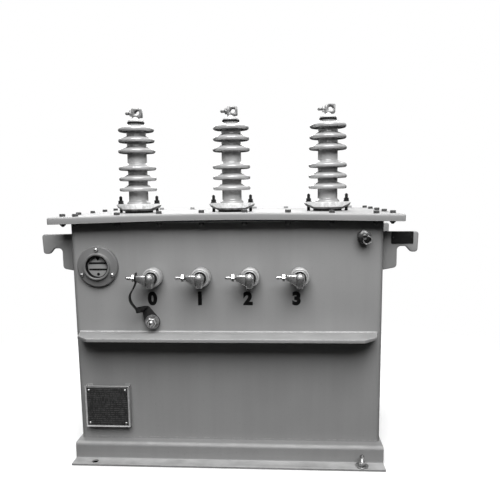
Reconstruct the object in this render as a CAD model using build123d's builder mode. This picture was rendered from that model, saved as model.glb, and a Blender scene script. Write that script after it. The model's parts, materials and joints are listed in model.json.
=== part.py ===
from build123d import *
import os

os.makedirs("parts", exist_ok=True)

# Clearances, in millimetres: between neighbouring round pieces, and past a face that is cut
seat_gap = 0.3
cut_overrun = 6

# Tank: two bent sheets on a floor plate, closed at the top by a flange, a gasket and the lid
tank_width = 820
tank_depth = 500
tank_wall = 4
tank_corner_radius = 14
shell_height = 592
floor_thickness = 5
flange_thickness = 8
lid_gasket_thickness = 4
lid_gasket_reach = 14
lid_plate = 4
lid_overhang = 44
lid_rim_height = 18
lid_rim_clearance = 2
lid_corner_radius = 6
lid_edge_chamfer = 3

# Base rails: bent sheet with a ledge under the tank, an upright web and a lip on the ground
rail_end_overhang = 5
rail_height = 48
rail_plate = 5
rail_bend_radius = 6
rail_seat = 60
rail_ledge = 34
rail_lip = 36
hold_down_hole = 18
hold_down_inset = 59

# Stiffeners: flat bars across the front and rear walls, their ends cut off at an angle
stiffener_clearance = 12
stiffener_end_gap = 13
stiffener_thickness = 9
stiffener_reach = 75
stiffener_end_taper = 8
stiffener_end_run = 45
stiffener_cut_run = 34

# Lifting lugs: hook plates near the corners of the side walls
lug_thickness = 12
lug_inset = 50
lug_drop = 33
lug_reach = 97
lug_height = 103
lug_heel = 8
lug_arm = 39
lug_leg = 42
lug_hook_depth = 15
lug_hook_width = 18
lug_hook_slope = 13
lug_outer_taper = 2
lug_round = 8
lug_notch_round = 10

# High-voltage bushings on the lid
hv_end_inset = 168
hv_gasket_thickness = 6
hv_gasket_diameter = 84
hv_spigot_diameter = 52
hv_spigot_depth = 80
hv_foot_diameter = 78
hv_foot_height = 11
hv_collar_diameter = 70
hv_collar_height = 13
hv_collar_taper = 6
hv_stem_diameter = 58
hv_shed_diameter = 112
hv_shed_tip = 8
hv_shed_slope = 11
hv_first_shed = 71
hv_shed_pitch = 31.5
hv_group_pitch = 113.5
hv_groups = 2
hv_group_sheds = 3
hv_head_diameter = 54
hv_head_rise = 15

# Two-eared clamps that hold the high-voltage porcelain down
clamp_diameter = 104
clamp_height = 21
clamp_stud_spacing = 112
clamp_stud_hole = 13
clamp_ear_diameter = 28
clamp_base_width = 84
clamp_ear_rise = 12
clamp_ear_edge = 5
clamp_shoulder_width = 124

# Caps and eye clamps on top of the high-voltage porcelain
cap_gasket_diameter = 51
cap_gasket_thickness = 7
cap_diameter = 46
cap_height = 7
cap_chamfer = 2
cap_rod_diameter = 16
neck_base_diameter = 32
neck_top_diameter = 22
neck_height = 6
hv_eye_left = 10
hv_eye_right = 20
hv_eye_height = 26
hv_eye_depth = 22
hv_eye_round = 12
hv_eye_bore_offset = 7
eye_bore = 14
eye_screw_diameter = 10
eye_screw_reach = 31
eye_nut_width = 18
eye_nut_height = 9

# Low-voltage bushings and eye clamps on the front wall
lv_drop = 143
lv_spacing = 127.5
lv_row_offset = 3
lv_count = 4
lv_gasket_diameter = 46
lv_gasket_thickness = 4
lv_spigot_diameter = 34
lv_spigot_depth = 40
lv_collar_diameter = 51
lv_collar_length = 36
lv_collar_chamfer = 6
lv_cap_gasket_diameter = 33
lv_cap_gasket_thickness = 3
lv_washer_diameter = 28
lv_washer_thickness = 2
lv_nut_width = 24
lv_nut_height = 4
lv_stud_diameter = 18
lv_eye_diameter = 24
lv_eye_seat = 3
lv_eye_drop = 23
lv_screw_rise = 4
lv_screw_reach = 61
lv_jaw_reach = 33
lv_jaw_tip = 16
lv_jaw_drop = 18
lv_jaw_depth = 20
lv_nut_gap = 3

# Grounding strap from the first low-voltage clamp to a boss on the front wall
pad_diameter = 36
pad_height = 10
pad_shift = 6.75
pad_drop = 121
pad_hole = 12
strap_width = 25
strap_thickness = 2.4
strap_hole_clearance = 0.6
strap_top_rise = 14
strap_straight_drop = 14
strap_bulge = 21
strap_fall = 48
strap_return_run = 8
strap_return_drop = 34
strap_bend_radius = 6
strap_fold_run = 21
strap_fold_drop = 4.5
strap_fold_width = 15
strap_corner_run = 28
strap_corner_drop = 9
strap_corner_diameter = 19
strap_end_diameter = 42

# Oil gauge, relief valve and plate bracket on the front wall
gauge_inset = 72.5
gauge_drop = 115.5
gauge_diameter = 109
gauge_thickness = 12
gauge_chamfer = 3
gauge_rim_width = 6
gauge_rim_height = 5
gauge_window_diameter = 59
gauge_window_thickness = 3
gauge_window_lap = 4
gauge_wall_hole = 50
valve_inset = 53
valve_drop = 42
valve_hole = 20
valve_spigot_depth = 14
valve_hex_width = 30
valve_hex_height = 12
valve_neck_diameter = 22
valve_neck_height = 5
valve_cap_diameter = 38
valve_cap_height = 13
valve_cap_chamfer = 4
bracket_inset = 85
bracket_rise = 94
bracket_width = 122
bracket_height = 115
bracket_plate = 3
bracket_stand_off = 20
bracket_bend_radius = 4
bracket_foot = 14

# Pole hangers on the rear wall
hanger_spacing = 285.75
hanger_top_drop = 110
hanger_reach = 78
hanger_width = 100
hanger_height = 90
hanger_plate = 8
hanger_bend_radius = 10
hanger_slot_width = 18
hanger_slot_length = 40

# Levels and planes that the pieces share
shell_bottom = rail_height + floor_thickness
shell_top = shell_bottom + shell_height
flange_top = shell_top + flange_thickness
lid_underside = flange_top + lid_gasket_thickness
lid_top = lid_underside + lid_plate
front_y = -tank_depth / 2
lid_width = tank_width + 2 * lid_overhang
lid_depth = tank_depth + 2 * lid_overhang
flange_reach = lid_overhang - lid_plate - lid_rim_clearance
sides = {"left": -1, "right": 1}
ends = {"front": -1, "rear": 1}
hv_spacing = lid_width / 2 - hv_end_inset
hv_places = {"left": -hv_spacing, "middle": 0, "right": hv_spacing}
lv_first = lv_row_offset - lv_spacing * (lv_count - 1) / 2
lv_names = ("first", "second", "third", "fourth")
lv_places = {name: lv_first + index * lv_spacing for index, name in enumerate(lv_names)}
lv_height = shell_top - lv_drop
pad_x = lv_first - pad_shift
pad_z = lv_height - pad_drop
stiffener_top = pad_z - pad_diameter / 2 - stiffener_clearance
stiffener_length = tank_width - 2 * stiffener_end_gap
rail_length = tank_width + 2 * rail_end_overhang
hold_down_spacing = rail_length - 2 * hold_down_inset
gauge_x = gauge_inset - tank_width / 2
gauge_z = shell_top - gauge_drop
valve_x = tank_width / 2 - valve_inset
valve_z = shell_top - valve_drop
bracket_x = bracket_inset - tank_width / 2
bracket_z = shell_bottom + bracket_rise
front_wall = Plane(origin=(0, front_y, 0), x_dir=(1, 0, 0), z_dir=(0, -1, 0))
rear_wall = Plane(origin=(0, -front_y, 0), x_dir=(-1, 0, 0), z_dir=(0, 1, 0))


def save(piece, name):
    """Labels a finished piece and writes it as one STEP file."""
    piece.part.label = name
    export_step(piece.part, f"parts/{name}.step")


def wall_plane(x, z):
    """A plane on the front wall, centred on a fitting, that faces out of the tank."""
    return Plane(origin=(x, front_y, z), x_dir=(1, 0, 0), z_dir=(0, -1, 0))


def upright_plane(x, y, z):
    """An upright plane that faces the front, with its origin at a point."""
    return Plane(origin=(x, y, z), x_dir=(1, 0, 0), z_dir=(0, -1, 0))


# Tank shells: one bent sheet for the front half, one for the rear half, with a seam on each side
for end in ends:
    with BuildPart() as shell:
        with BuildSketch(Plane.XY.offset(shell_bottom)):
            RectangleRounded(tank_width, tank_depth, tank_corner_radius)
            RectangleRounded(
                tank_width - 2 * tank_wall,
                tank_depth - 2 * tank_wall,
                tank_corner_radius - tank_wall,
                mode=Mode.SUBTRACT,
            )
        extrude(amount=shell_height)
        split(bisect_by=Plane.XZ, keep=Keep.TOP if end == "front" else Keep.BOTTOM)
        if end == "front":
            with BuildSketch(front_wall):
                with Locations(*[(x, lv_height) for x in lv_places.values()]):
                    Circle(lv_spigot_diameter / 2 + seat_gap)
                with Locations((gauge_x, gauge_z)):
                    Circle(gauge_wall_hole / 2)
                with Locations((valve_x, valve_z)):
                    Circle(valve_hole / 2 + seat_gap)
            extrude(amount=tank_wall + cut_overrun, both=True, mode=Mode.SUBTRACT)
    save(shell, f"tank_{end}_shell")

with BuildPart() as tank_floor:
    with BuildSketch(Plane.XY.offset(rail_height)):
        RectangleRounded(tank_width, tank_depth, tank_corner_radius)
    extrude(amount=floor_thickness)
save(tank_floor, "tank_floor")

with BuildPart() as tank_flange:
    with BuildSketch(Plane.XY.offset(shell_top)):
        RectangleRounded(
            tank_width + 2 * flange_reach,
            tank_depth + 2 * flange_reach,
            lid_corner_radius - lid_plate,
        )
        RectangleRounded(
            tank_width - 2 * tank_wall,
            tank_depth - 2 * tank_wall,
            tank_corner_radius - tank_wall,
            mode=Mode.SUBTRACT,
        )
    extrude(amount=flange_thickness)
save(tank_flange, "tank_flange")

with BuildPart() as lid_gasket:
    with BuildSketch(Plane.XY.offset(flange_top)):
        RectangleRounded(
            tank_width + 2 * lid_gasket_reach,
            tank_depth + 2 * lid_gasket_reach,
            tank_corner_radius + lid_gasket_reach,
        )
        RectangleRounded(
            tank_width - 2 * tank_wall,
            tank_depth - 2 * tank_wall,
            tank_corner_radius - tank_wall,
            mode=Mode.SUBTRACT,
        )
    extrude(amount=lid_gasket_thickness)
save(lid_gasket, "lid_gasket")

# Lid: a shallow pan turned upside down, with a hole for each high-voltage porcelain
with BuildPart() as lid:
    with BuildSketch(Plane.XY.offset(lid_top)):
        RectangleRounded(lid_width, lid_depth, lid_corner_radius)
    extrude(amount=-lid_rim_height)
    chamfer(lid.edges().group_by(Axis.Z)[-1], lid_edge_chamfer)
    with BuildSketch(Plane.XY.offset(lid_underside)):
        RectangleRounded(
            lid_width - 2 * lid_plate,
            lid_depth - 2 * lid_plate,
            lid_corner_radius - lid_plate,
        )
    extrude(amount=-lid_rim_height, mode=Mode.SUBTRACT)
    with BuildSketch(Plane.XY.offset(lid_top)):
        with Locations(*[(x, 0) for x in hv_places.values()]):
            Circle(hv_spigot_diameter / 2 + seat_gap)
    extrude(amount=lid_plate + cut_overrun, both=True, mode=Mode.SUBTRACT)
save(lid, "lid")

# Base rails: the bent sheet follows a Z, with two hold-down holes in the lip
for end, side in ends.items():
    web_y = side * (tank_depth / 2 + rail_ledge - rail_plate / 2)
    with BuildPart() as rail:
        with BuildSketch(Plane.YZ.offset(-rail_length / 2)):
            with BuildLine():
                FilletPolyline(
                    (side * (tank_depth / 2 - rail_seat), rail_height - rail_plate / 2),
                    (web_y, rail_height - rail_plate / 2),
                    (web_y, rail_plate / 2),
                    (web_y + side * (rail_lip + rail_plate / 2), rail_plate / 2),
                    radius=rail_bend_radius,
                )
            trace(line_width=rail_plate)
        extrude(amount=rail_length)
        with BuildSketch(Plane.XY):
            with Locations((0, side * (tank_depth / 2 + rail_ledge + rail_lip / 2))):
                with GridLocations(hold_down_spacing, 0, 2, 1):
                    Circle(hold_down_hole / 2)
        extrude(amount=rail_plate + cut_overrun, both=True, mode=Mode.SUBTRACT)
    save(rail, f"base_{end}_rail")

# Stiffeners: a flat bar on edge to each long wall
for end, side in ends.items():
    half_at_wall = stiffener_length / 2
    half_at_cut = half_at_wall - stiffener_end_taper
    half_at_front = half_at_cut - stiffener_cut_run
    with BuildPart() as stiffener:
        with BuildSketch(Plane.XY.offset(stiffener_top)):
            with BuildLine():
                Polyline(
                    (-half_at_wall, side * tank_depth / 2),
                    (-half_at_cut, side * (tank_depth / 2 + stiffener_end_run)),
                    (-half_at_front, side * (tank_depth / 2 + stiffener_reach)),
                    (half_at_front, side * (tank_depth / 2 + stiffener_reach)),
                    (half_at_cut, side * (tank_depth / 2 + stiffener_end_run)),
                    (half_at_wall, side * tank_depth / 2),
                    close=True,
                )
            make_face()
        extrude(amount=-stiffener_thickness)
    save(stiffener, f"{end}_stiffener")

# Lifting lugs: a leg along the wall, an arm, and a hook that drops at the arm's end
for end, end_side in ends.items():
    for hand, hand_side in sides.items():
        lug_y = end_side * (tank_depth / 2 - lug_inset)
        lug_plane = Plane(
            origin=(hand_side * tank_width / 2, lug_y, shell_top - lug_drop),
            x_dir=(hand_side, 0, 0),
            z_dir=(0, -hand_side, 0),
        )
        hook_outer = lug_reach - lug_outer_taper
        hook_inner = hook_outer - lug_hook_width
        with BuildPart() as lug:
            with BuildSketch(lug_plane) as outline:
                with BuildLine():
                    Polyline(
                        (0, 0),
                        (lug_reach, 0),
                        (hook_outer, -lug_arm - lug_hook_depth),
                        (hook_inner, -lug_arm - lug_hook_depth),
                        (hook_inner - lug_hook_slope, -lug_arm),
                        (lug_leg, -lug_arm),
                        (lug_leg, lug_heel - lug_height),
                        (0, -lug_height),
                        close=True,
                    )
                make_face()
                columns = outline.vertices().group_by(Axis.X)
                fillet(columns[1] + columns[2] + columns[3], lug_notch_round)
                fillet(outline.vertices().group_by(Axis.X)[-2:], lug_round)
            extrude(amount=lug_thickness / 2, both=True)
        save(lug, f"{end}_{hand}_lug")

# High-voltage porcelain: a turned body with two groups of sheds, standing on its gasket
shed_tips = [
    hv_first_shed + group * hv_group_pitch + index * hv_shed_pitch
    for group in range(hv_groups)
    for index in range(hv_group_sheds)
]
foot_top = hv_gasket_thickness + hv_foot_height
collar_top = foot_top + hv_collar_height
head_top = shed_tips[-1] + hv_head_rise
for place, x in hv_places.items():
    with BuildPart() as bushing:
        with BuildSketch(upright_plane(x, 0, lid_top)):
            with BuildLine():
                points = [
                    (0, -hv_spigot_depth),
                    (hv_spigot_diameter / 2, -hv_spigot_depth),
                    (hv_spigot_diameter / 2, hv_gasket_thickness),
                    (hv_foot_diameter / 2, hv_gasket_thickness),
                    (hv_foot_diameter / 2, foot_top),
                    (hv_collar_diameter / 2, foot_top),
                    (hv_collar_diameter / 2, collar_top),
                    (hv_stem_diameter / 2, collar_top + hv_collar_taper),
                ]
                for tip in shed_tips:
                    points += [
                        (hv_stem_diameter / 2, tip - hv_shed_tip / 2),
                        (hv_shed_diameter / 2, tip - hv_shed_tip / 2),
                        (hv_shed_diameter / 2, tip + hv_shed_tip / 2),
                        (hv_stem_diameter / 2, tip + hv_shed_tip / 2 + hv_shed_slope),
                    ]
                points[-1] = (hv_head_diameter / 2, head_top)
                Polyline(*points, (0, head_top), close=True)
            make_face()
        revolve(axis=Axis((x, 0, 0), (0, 0, 1)))
    save(bushing, f"hv_bushing_{place}")

with BuildPart() as hv_base_gaskets:
    with BuildSketch(Plane.XY.offset(lid_top)):
        with Locations(*[(x, 0) for x in hv_places.values()]):
            Circle(hv_gasket_diameter / 2)
            Circle(hv_spigot_diameter / 2 + seat_gap, mode=Mode.SUBTRACT)
    extrude(amount=hv_gasket_thickness)
save(hv_base_gaskets, "hv_base_gaskets")

# Clamps: the plan of a two-bolt flange, cut to a boat shape from the front
for place, x in hv_places.items():
    clamp_base = Plane(origin=(x, 0, lid_top + hv_gasket_thickness))
    with BuildPart() as clamp:
        with BuildSketch(clamp_base) as plan:
            Circle(clamp_diameter / 2)
            with GridLocations(clamp_stud_spacing, 0, 2, 1):
                Circle(clamp_ear_diameter / 2)
            make_hull(plan.edges())
        extrude(amount=clamp_height)
        clamp_reach = (clamp_stud_spacing + clamp_ear_diameter) / 2
        with BuildSketch(upright_plane(x, 0, lid_top + hv_gasket_thickness)):
            with BuildLine():
                Polyline(
                    (-clamp_base_width / 2, 0),
                    (-clamp_reach, clamp_ear_rise),
                    (-clamp_reach, clamp_ear_rise + clamp_ear_edge),
                    (-clamp_shoulder_width / 2, clamp_height),
                    (clamp_shoulder_width / 2, clamp_height),
                    (clamp_reach, clamp_ear_rise + clamp_ear_edge),
                    (clamp_reach, clamp_ear_rise),
                    (clamp_base_width / 2, 0),
                    close=True,
                )
            make_face()
        extrude(amount=clamp_diameter, both=True, mode=Mode.INTERSECT)
        with BuildSketch(clamp_base):
            Circle(hv_foot_diameter / 2 + seat_gap)
        extrude(amount=hv_foot_height + seat_gap, mode=Mode.SUBTRACT)
        with BuildSketch(clamp_base):
            Circle(hv_collar_diameter / 2 + seat_gap)
            with GridLocations(clamp_stud_spacing, 0, 2, 1):
                Circle(clamp_stud_hole / 2)
        extrude(amount=clamp_height + cut_overrun, mode=Mode.SUBTRACT)
    save(clamp, f"hv_clamp_{place}")

head_z = lid_top + head_top
with BuildPart() as hv_cap_gaskets:
    with BuildSketch(Plane.XY.offset(head_z)):
        with Locations(*[(x, 0) for x in hv_places.values()]):
            Circle(cap_gasket_diameter / 2)
            Circle(cap_rod_diameter / 2 + seat_gap, mode=Mode.SUBTRACT)
    extrude(amount=cap_gasket_thickness)
save(hv_cap_gaskets, "hv_cap_gaskets")

# High-voltage terminals: rod, cap and neck turned in one, with an eye block and its screw on top
cap_z = cap_gasket_thickness
neck_z = cap_z + cap_height
eye_z = neck_z + neck_height
for place, x in hv_places.items():
    with BuildPart() as terminal:
        with BuildSketch(upright_plane(x, 0, head_z)):
            with BuildLine():
                Polyline(
                    (0, 0),
                    (cap_rod_diameter / 2, 0),
                    (cap_rod_diameter / 2, cap_z),
                    (cap_diameter / 2, cap_z),
                    (cap_diameter / 2, neck_z - cap_chamfer),
                    (cap_diameter / 2 - cap_chamfer, neck_z),
                    (neck_base_diameter / 2, neck_z),
                    (neck_top_diameter / 2, eye_z),
                    (0, eye_z),
                    close=True,
                )
            make_face()
        revolve(axis=Axis((x, 0, 0), (0, 0, 1)))
        eye_centre = head_z + eye_z + hv_eye_height / 2
        with BuildSketch(upright_plane(x + (hv_eye_right - hv_eye_left) / 2, 0, eye_centre)):
            RectangleRounded(hv_eye_left + hv_eye_right, hv_eye_height, hv_eye_round)
        extrude(amount=hv_eye_depth / 2, both=True)
        screw_plane = Plane(origin=(x, 0, eye_centre), x_dir=(0, 1, 0), z_dir=(-1, 0, 0))
        with BuildSketch(screw_plane):
            Circle(eye_screw_diameter / 2)
        extrude(amount=eye_screw_reach)
        with BuildSketch(screw_plane.offset(hv_eye_left)):
            RegularPolygon(eye_nut_width / 2, 6, major_radius=False)
        extrude(amount=eye_nut_height)
        with BuildSketch(upright_plane(x + hv_eye_bore_offset, 0, eye_centre)):
            Circle(eye_bore / 2)
        extrude(amount=hv_eye_depth / 2 + cut_overrun, both=True, mode=Mode.SUBTRACT)
    save(terminal, f"hv_terminal_{place}")

# Low-voltage porcelain: a chamfered collar outside the wall and a spigot through it
collar_front = lv_gasket_thickness + lv_collar_length
for place, x in lv_places.items():
    with BuildPart() as bushing:
        with BuildSketch(wall_plane(x, lv_height).offset(lv_gasket_thickness)):
            Circle(lv_spigot_diameter / 2)
        extrude(amount=-lv_spigot_depth)
        with BuildSketch(wall_plane(x, lv_height).offset(lv_gasket_thickness)):
            Circle(lv_collar_diameter / 2)
        extrude(amount=lv_collar_length)
        chamfer(bushing.edges().group_by(Axis.Y)[0], lv_collar_chamfer)
    save(bushing, f"lv_bushing_{place}")

with BuildPart() as lv_gaskets:
    with BuildSketch(front_wall):
        with Locations(*[(x, lv_height) for x in lv_places.values()]):
            Circle(lv_gasket_diameter / 2)
            Circle(lv_spigot_diameter / 2 + seat_gap, mode=Mode.SUBTRACT)
    extrude(amount=lv_gasket_thickness)
save(lv_gaskets, "lv_gaskets")

cap_front = collar_front + lv_cap_gasket_thickness
with BuildPart() as lv_cap_gaskets:
    with BuildSketch(front_wall.offset(collar_front)):
        with Locations(*[(x, lv_height) for x in lv_places.values()]):
            Circle(lv_cap_gasket_diameter / 2)
            Circle(lv_stud_diameter / 2 + seat_gap, mode=Mode.SUBTRACT)
    extrude(amount=lv_cap_gasket_thickness)
save(lv_cap_gaskets, "lv_cap_gaskets")

# Low-voltage terminals: washer and nut on the stud, an upright eye, and a jaw that narrows to a screw
eye_start = cap_front + lv_washer_thickness + lv_nut_height
eye_middle = eye_start + lv_eye_diameter / 2 - lv_eye_seat
screw_z = lv_height + lv_screw_rise
eye_top = screw_z + lv_jaw_tip / 2
eye_bottom = lv_height - lv_eye_drop
for place, x in lv_places.items():
    stud_plane = wall_plane(x, lv_height)
    with BuildPart() as terminal:
        with BuildSketch(stud_plane.offset(cap_front)):
            Circle(lv_washer_diameter / 2)
        extrude(amount=lv_washer_thickness)
        with BuildSketch(stud_plane.offset(cap_front + lv_washer_thickness)):
            RegularPolygon(lv_nut_width / 2, 6, major_radius=False)
        extrude(amount=lv_nut_height)
        with BuildSketch(stud_plane.offset(collar_front)):
            Circle(lv_stud_diameter / 2)
        extrude(amount=eye_middle - collar_front)
        screw_plane = Plane(origin=(x, front_y - eye_middle, screw_z), x_dir=(0, 1, 0), z_dir=(-1, 0, 0))
        with BuildSketch(upright_plane(x, front_y - eye_middle, 0)):
            with BuildLine():
                Polyline(
                    (0, eye_top),
                    (-lv_jaw_reach, eye_top),
                    (-lv_jaw_reach, eye_top - lv_jaw_tip),
                    (0, lv_height - lv_jaw_drop),
                    close=True,
                )
            make_face()
        extrude(amount=lv_jaw_depth / 2, both=True)
        with BuildSketch(screw_plane):
            Circle(eye_screw_diameter / 2)
        extrude(amount=lv_screw_reach)
        with BuildSketch(screw_plane.offset(lv_jaw_reach + lv_nut_gap)):
            RegularPolygon(eye_nut_width / 2, 6, major_radius=False)
        extrude(amount=eye_nut_height)
        with BuildSketch(Plane(origin=(x, front_y - eye_middle, eye_bottom))):
            Circle(lv_eye_diameter / 2)
        extrude(amount=eye_top - eye_bottom)
        with BuildSketch(Plane(origin=(x, front_y - eye_middle, eye_bottom))):
            Circle(eye_bore / 2)
        extrude(amount=eye_top - eye_bottom + cut_overrun, both=True, mode=Mode.SUBTRACT)
    save(terminal, f"lv_terminal_{place}")

with BuildPart() as ground_pad:
    with BuildSketch(wall_plane(pad_x, pad_z)):
        Circle(pad_diameter / 2)
        Circle(pad_hole / 2, mode=Mode.SUBTRACT)
    extrude(amount=pad_height)
save(ground_pad, "ground_pad")

# Grounding strap: hangs edge-on from the first clamp's screw, twists and lies flat on the boss
strap_x = lv_first - lv_jaw_reach - lv_nut_gap / 2
strap_y = front_y - eye_middle
strap_path = [
    (strap_x, screw_z + strap_top_rise),
    (strap_x, screw_z - strap_straight_drop),
    (strap_x - strap_bulge, screw_z - strap_fall),
    (strap_x - strap_bulge + strap_return_run, screw_z - strap_fall - strap_return_drop),
]
plate_y = front_y - pad_height - strap_thickness / 2
hang_end = Vector(strap_path[-1][0], strap_y, strap_path[-1][1])
hang_direction = Vector(strap_return_run, 0, -strap_return_drop).normalized()
pad_centre = Vector(pad_x, plate_y, pad_z)
fold = Vector(hang_end.X + strap_fold_run, plate_y, hang_end.Z - strap_fold_drop)
corner = Vector(hang_end.X + strap_corner_run, plate_y, hang_end.Z - strap_corner_drop)
twist_start = Plane(origin=hang_end, x_dir=(0, 1, 0), z_dir=hang_direction)
twist_end = Plane(origin=fold, x_dir=(0, 1, 0), z_dir=(1, 0, 0))
plate_face = Plane(origin=pad_centre, x_dir=(1, 0, 0), z_dir=(0, -1, 0))
with BuildPart() as neutral_strap:
    with BuildSketch(upright_plane(0, strap_y, 0)):
        with BuildLine():
            FilletPolyline(*strap_path, radius=strap_bend_radius)
        trace(line_width=strap_thickness)
    extrude(amount=strap_width / 2, both=True)
    with BuildSketch(Plane(origin=(strap_x, strap_y, screw_z), x_dir=(0, 1, 0), z_dir=(-1, 0, 0))):
        Circle(eye_screw_diameter / 2 + strap_hole_clearance)
    extrude(amount=strap_thickness, both=True, mode=Mode.SUBTRACT)
    with BuildSketch(twist_start):
        Rectangle(strap_width, strap_thickness)
    with BuildSketch(twist_end):
        Rectangle(strap_thickness, strap_fold_width)
    loft()
    with BuildSketch(plate_face) as plate:
        Circle(strap_end_diameter / 2)
        with Locations((corner.X - pad_x, corner.Z - pad_z)):
            Circle(strap_corner_diameter / 2)
        with Locations((fold.X - pad_x, fold.Z - pad_z)):
            Circle(strap_fold_width / 2)
        make_hull(plate.edges())
        Circle(pad_hole / 2 + strap_hole_clearance, mode=Mode.SUBTRACT)
    extrude(amount=strap_thickness / 2, both=True)
save(neutral_strap, "neutral_strap")

# Oil gauge: a flange with a raised rim round its window, and the dial behind it
gauge_plane = wall_plane(gauge_x, gauge_z)
dial_diameter = gauge_window_diameter + 2 * gauge_window_lap
with BuildPart() as gauge_bezel:
    with BuildSketch(gauge_plane):
        Circle(gauge_diameter / 2)
    extrude(amount=gauge_thickness)
    chamfer(gauge_bezel.edges().group_by(Axis.Y)[0], gauge_chamfer)
    with BuildSketch(gauge_plane.offset(gauge_thickness)):
        Circle(gauge_window_diameter / 2 + gauge_rim_width)
    extrude(amount=gauge_rim_height)
    with BuildSketch(gauge_plane):
        Circle(gauge_window_diameter / 2)
    extrude(amount=gauge_thickness + gauge_rim_height, mode=Mode.SUBTRACT)
    with BuildSketch(gauge_plane):
        Circle(dial_diameter / 2 + seat_gap)
    extrude(amount=gauge_window_thickness, mode=Mode.SUBTRACT)
save(gauge_bezel, "gauge_bezel")

with BuildPart() as gauge_window:
    with BuildSketch(gauge_plane):
        Circle(dial_diameter / 2)
    extrude(amount=gauge_window_thickness)
save(gauge_window, "gauge_window")

# Relief valve: a hexagon body screwed into the wall, and a domed cap on its neck
valve_plane = wall_plane(valve_x, valve_z)
with BuildPart() as relief_valve_body:
    with BuildSketch(valve_plane):
        RegularPolygon(valve_hex_width / 2, 6, major_radius=False)
    extrude(amount=valve_hex_height)
    with BuildSketch(valve_plane):
        Circle(valve_hole / 2)
    extrude(amount=-valve_spigot_depth)
    with BuildSketch(valve_plane.offset(valve_hex_height)):
        Circle(valve_neck_diameter / 2)
    extrude(amount=valve_neck_height)
save(relief_valve_body, "relief_valve_body")

with BuildPart() as relief_valve_cap:
    with BuildSketch(valve_plane.offset(valve_hex_height + valve_neck_height)):
        Circle(valve_cap_diameter / 2)
    extrude(amount=valve_cap_height)
    chamfer(relief_valve_cap.edges().group_by(Axis.Y)[0], valve_cap_chamfer)
save(relief_valve_cap, "relief_valve_cap")

# Plate bracket: a bent sheet that stands off the wall on two side legs with feet
bracket_half = bracket_width / 2 - bracket_plate / 2
bracket_front = front_y - bracket_stand_off + bracket_plate / 2
bracket_back = front_y - bracket_plate / 2
with BuildPart() as plate_bracket:
    with BuildSketch(Plane.XY.offset(bracket_z - bracket_height / 2)):
        with BuildLine():
            FilletPolyline(
                (bracket_x - bracket_half + bracket_foot, bracket_back),
                (bracket_x - bracket_half, bracket_back),
                (bracket_x - bracket_half, bracket_front),
                (bracket_x + bracket_half, bracket_front),
                (bracket_x + bracket_half, bracket_back),
                (bracket_x + bracket_half - bracket_foot, bracket_back),
                radius=bracket_bend_radius,
            )
        trace(line_width=bracket_plate)
    extrude(amount=bracket_height)
save(plate_bracket, "plate_bracket")

# Pole hangers: bent channels on the rear wall with an upright slot for the pole bolt
hanger_tops = {"upper": shell_top - hanger_top_drop, "lower": shell_top - hanger_top_drop - hanger_spacing}
hanger_half = hanger_width / 2 - hanger_plate / 2
hanger_face = tank_depth / 2 + hanger_reach
for place, z in hanger_tops.items():
    with BuildPart() as hanger:
        with BuildSketch(Plane.XY.offset(z - hanger_height / 2)):
            with BuildLine():
                FilletPolyline(
                    (-hanger_half, tank_depth / 2),
                    (-hanger_half, hanger_face - hanger_plate / 2),
                    (hanger_half, hanger_face - hanger_plate / 2),
                    (hanger_half, tank_depth / 2),
                    radius=hanger_bend_radius,
                )
            trace(line_width=hanger_plate)
        extrude(amount=hanger_height)
        with BuildSketch(rear_wall.offset(hanger_reach)):
            with Locations((0, z)):
                SlotOverall(hanger_slot_length, hanger_slot_width, rotation=90)
        extrude(amount=hanger_plate + cut_overrun, both=True, mode=Mode.SUBTRACT)
    save(hanger, f"{place}_hanger_bracket")
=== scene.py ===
"""Looks of the pole mounted transformer: studio, finishes and shaped pieces round the frame."""
import json
import logging
import math
from contextlib import contextmanager
from dataclasses import dataclass, replace
from enum import Enum
from typing import Any, Callable, Iterable, Iterator, Sequence

import bmesh
import bpy
from mathutils import Matrix, Vector


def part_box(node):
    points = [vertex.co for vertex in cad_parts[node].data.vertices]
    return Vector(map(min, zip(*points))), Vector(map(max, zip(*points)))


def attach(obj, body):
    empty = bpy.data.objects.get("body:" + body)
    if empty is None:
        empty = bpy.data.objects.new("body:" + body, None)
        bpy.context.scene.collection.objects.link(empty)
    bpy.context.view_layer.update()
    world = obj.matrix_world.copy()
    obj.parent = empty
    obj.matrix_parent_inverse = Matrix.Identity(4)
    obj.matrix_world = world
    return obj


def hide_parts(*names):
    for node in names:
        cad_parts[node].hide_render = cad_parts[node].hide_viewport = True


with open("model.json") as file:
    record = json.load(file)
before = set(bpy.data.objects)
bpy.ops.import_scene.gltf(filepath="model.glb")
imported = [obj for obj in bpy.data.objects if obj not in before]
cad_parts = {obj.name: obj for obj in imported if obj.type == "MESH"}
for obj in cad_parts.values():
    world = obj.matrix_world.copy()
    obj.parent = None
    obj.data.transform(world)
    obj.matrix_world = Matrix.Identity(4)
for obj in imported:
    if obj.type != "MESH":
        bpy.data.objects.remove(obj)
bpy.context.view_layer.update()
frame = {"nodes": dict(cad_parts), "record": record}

LOG = logging.getLogger("transformer")
MM = 0.001
BODY = "root"
ENDS = ("front", "rear")
HANDS = ("left", "right")
LEVELS = ("upper", "lower")
BOTH_WAYS = (-1, 1)

# Limits of the mesh work
MERGE_DISTANCE = 0.01 * MM
FLAT_ANGLE = math.radians(0.6)
SMOOTH_ANGLE = math.radians(38)
BEVEL_ANGLE = math.radians(32)
ALONG_AXIS = 0.9

# Corners of the round pieces, by their size
GAUGE_SIDES = 72
TURN_SIDES = 56
BORE_SIDES = 40
WASHER_SIDES = 36
NECK_SIDES = 32
PIN_SIDES = 24
SMALL_SIDES = 20
HEX_SIDES = 6
HEX_ACROSS_TO_RADIUS = 1 / math.sqrt(3)

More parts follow.
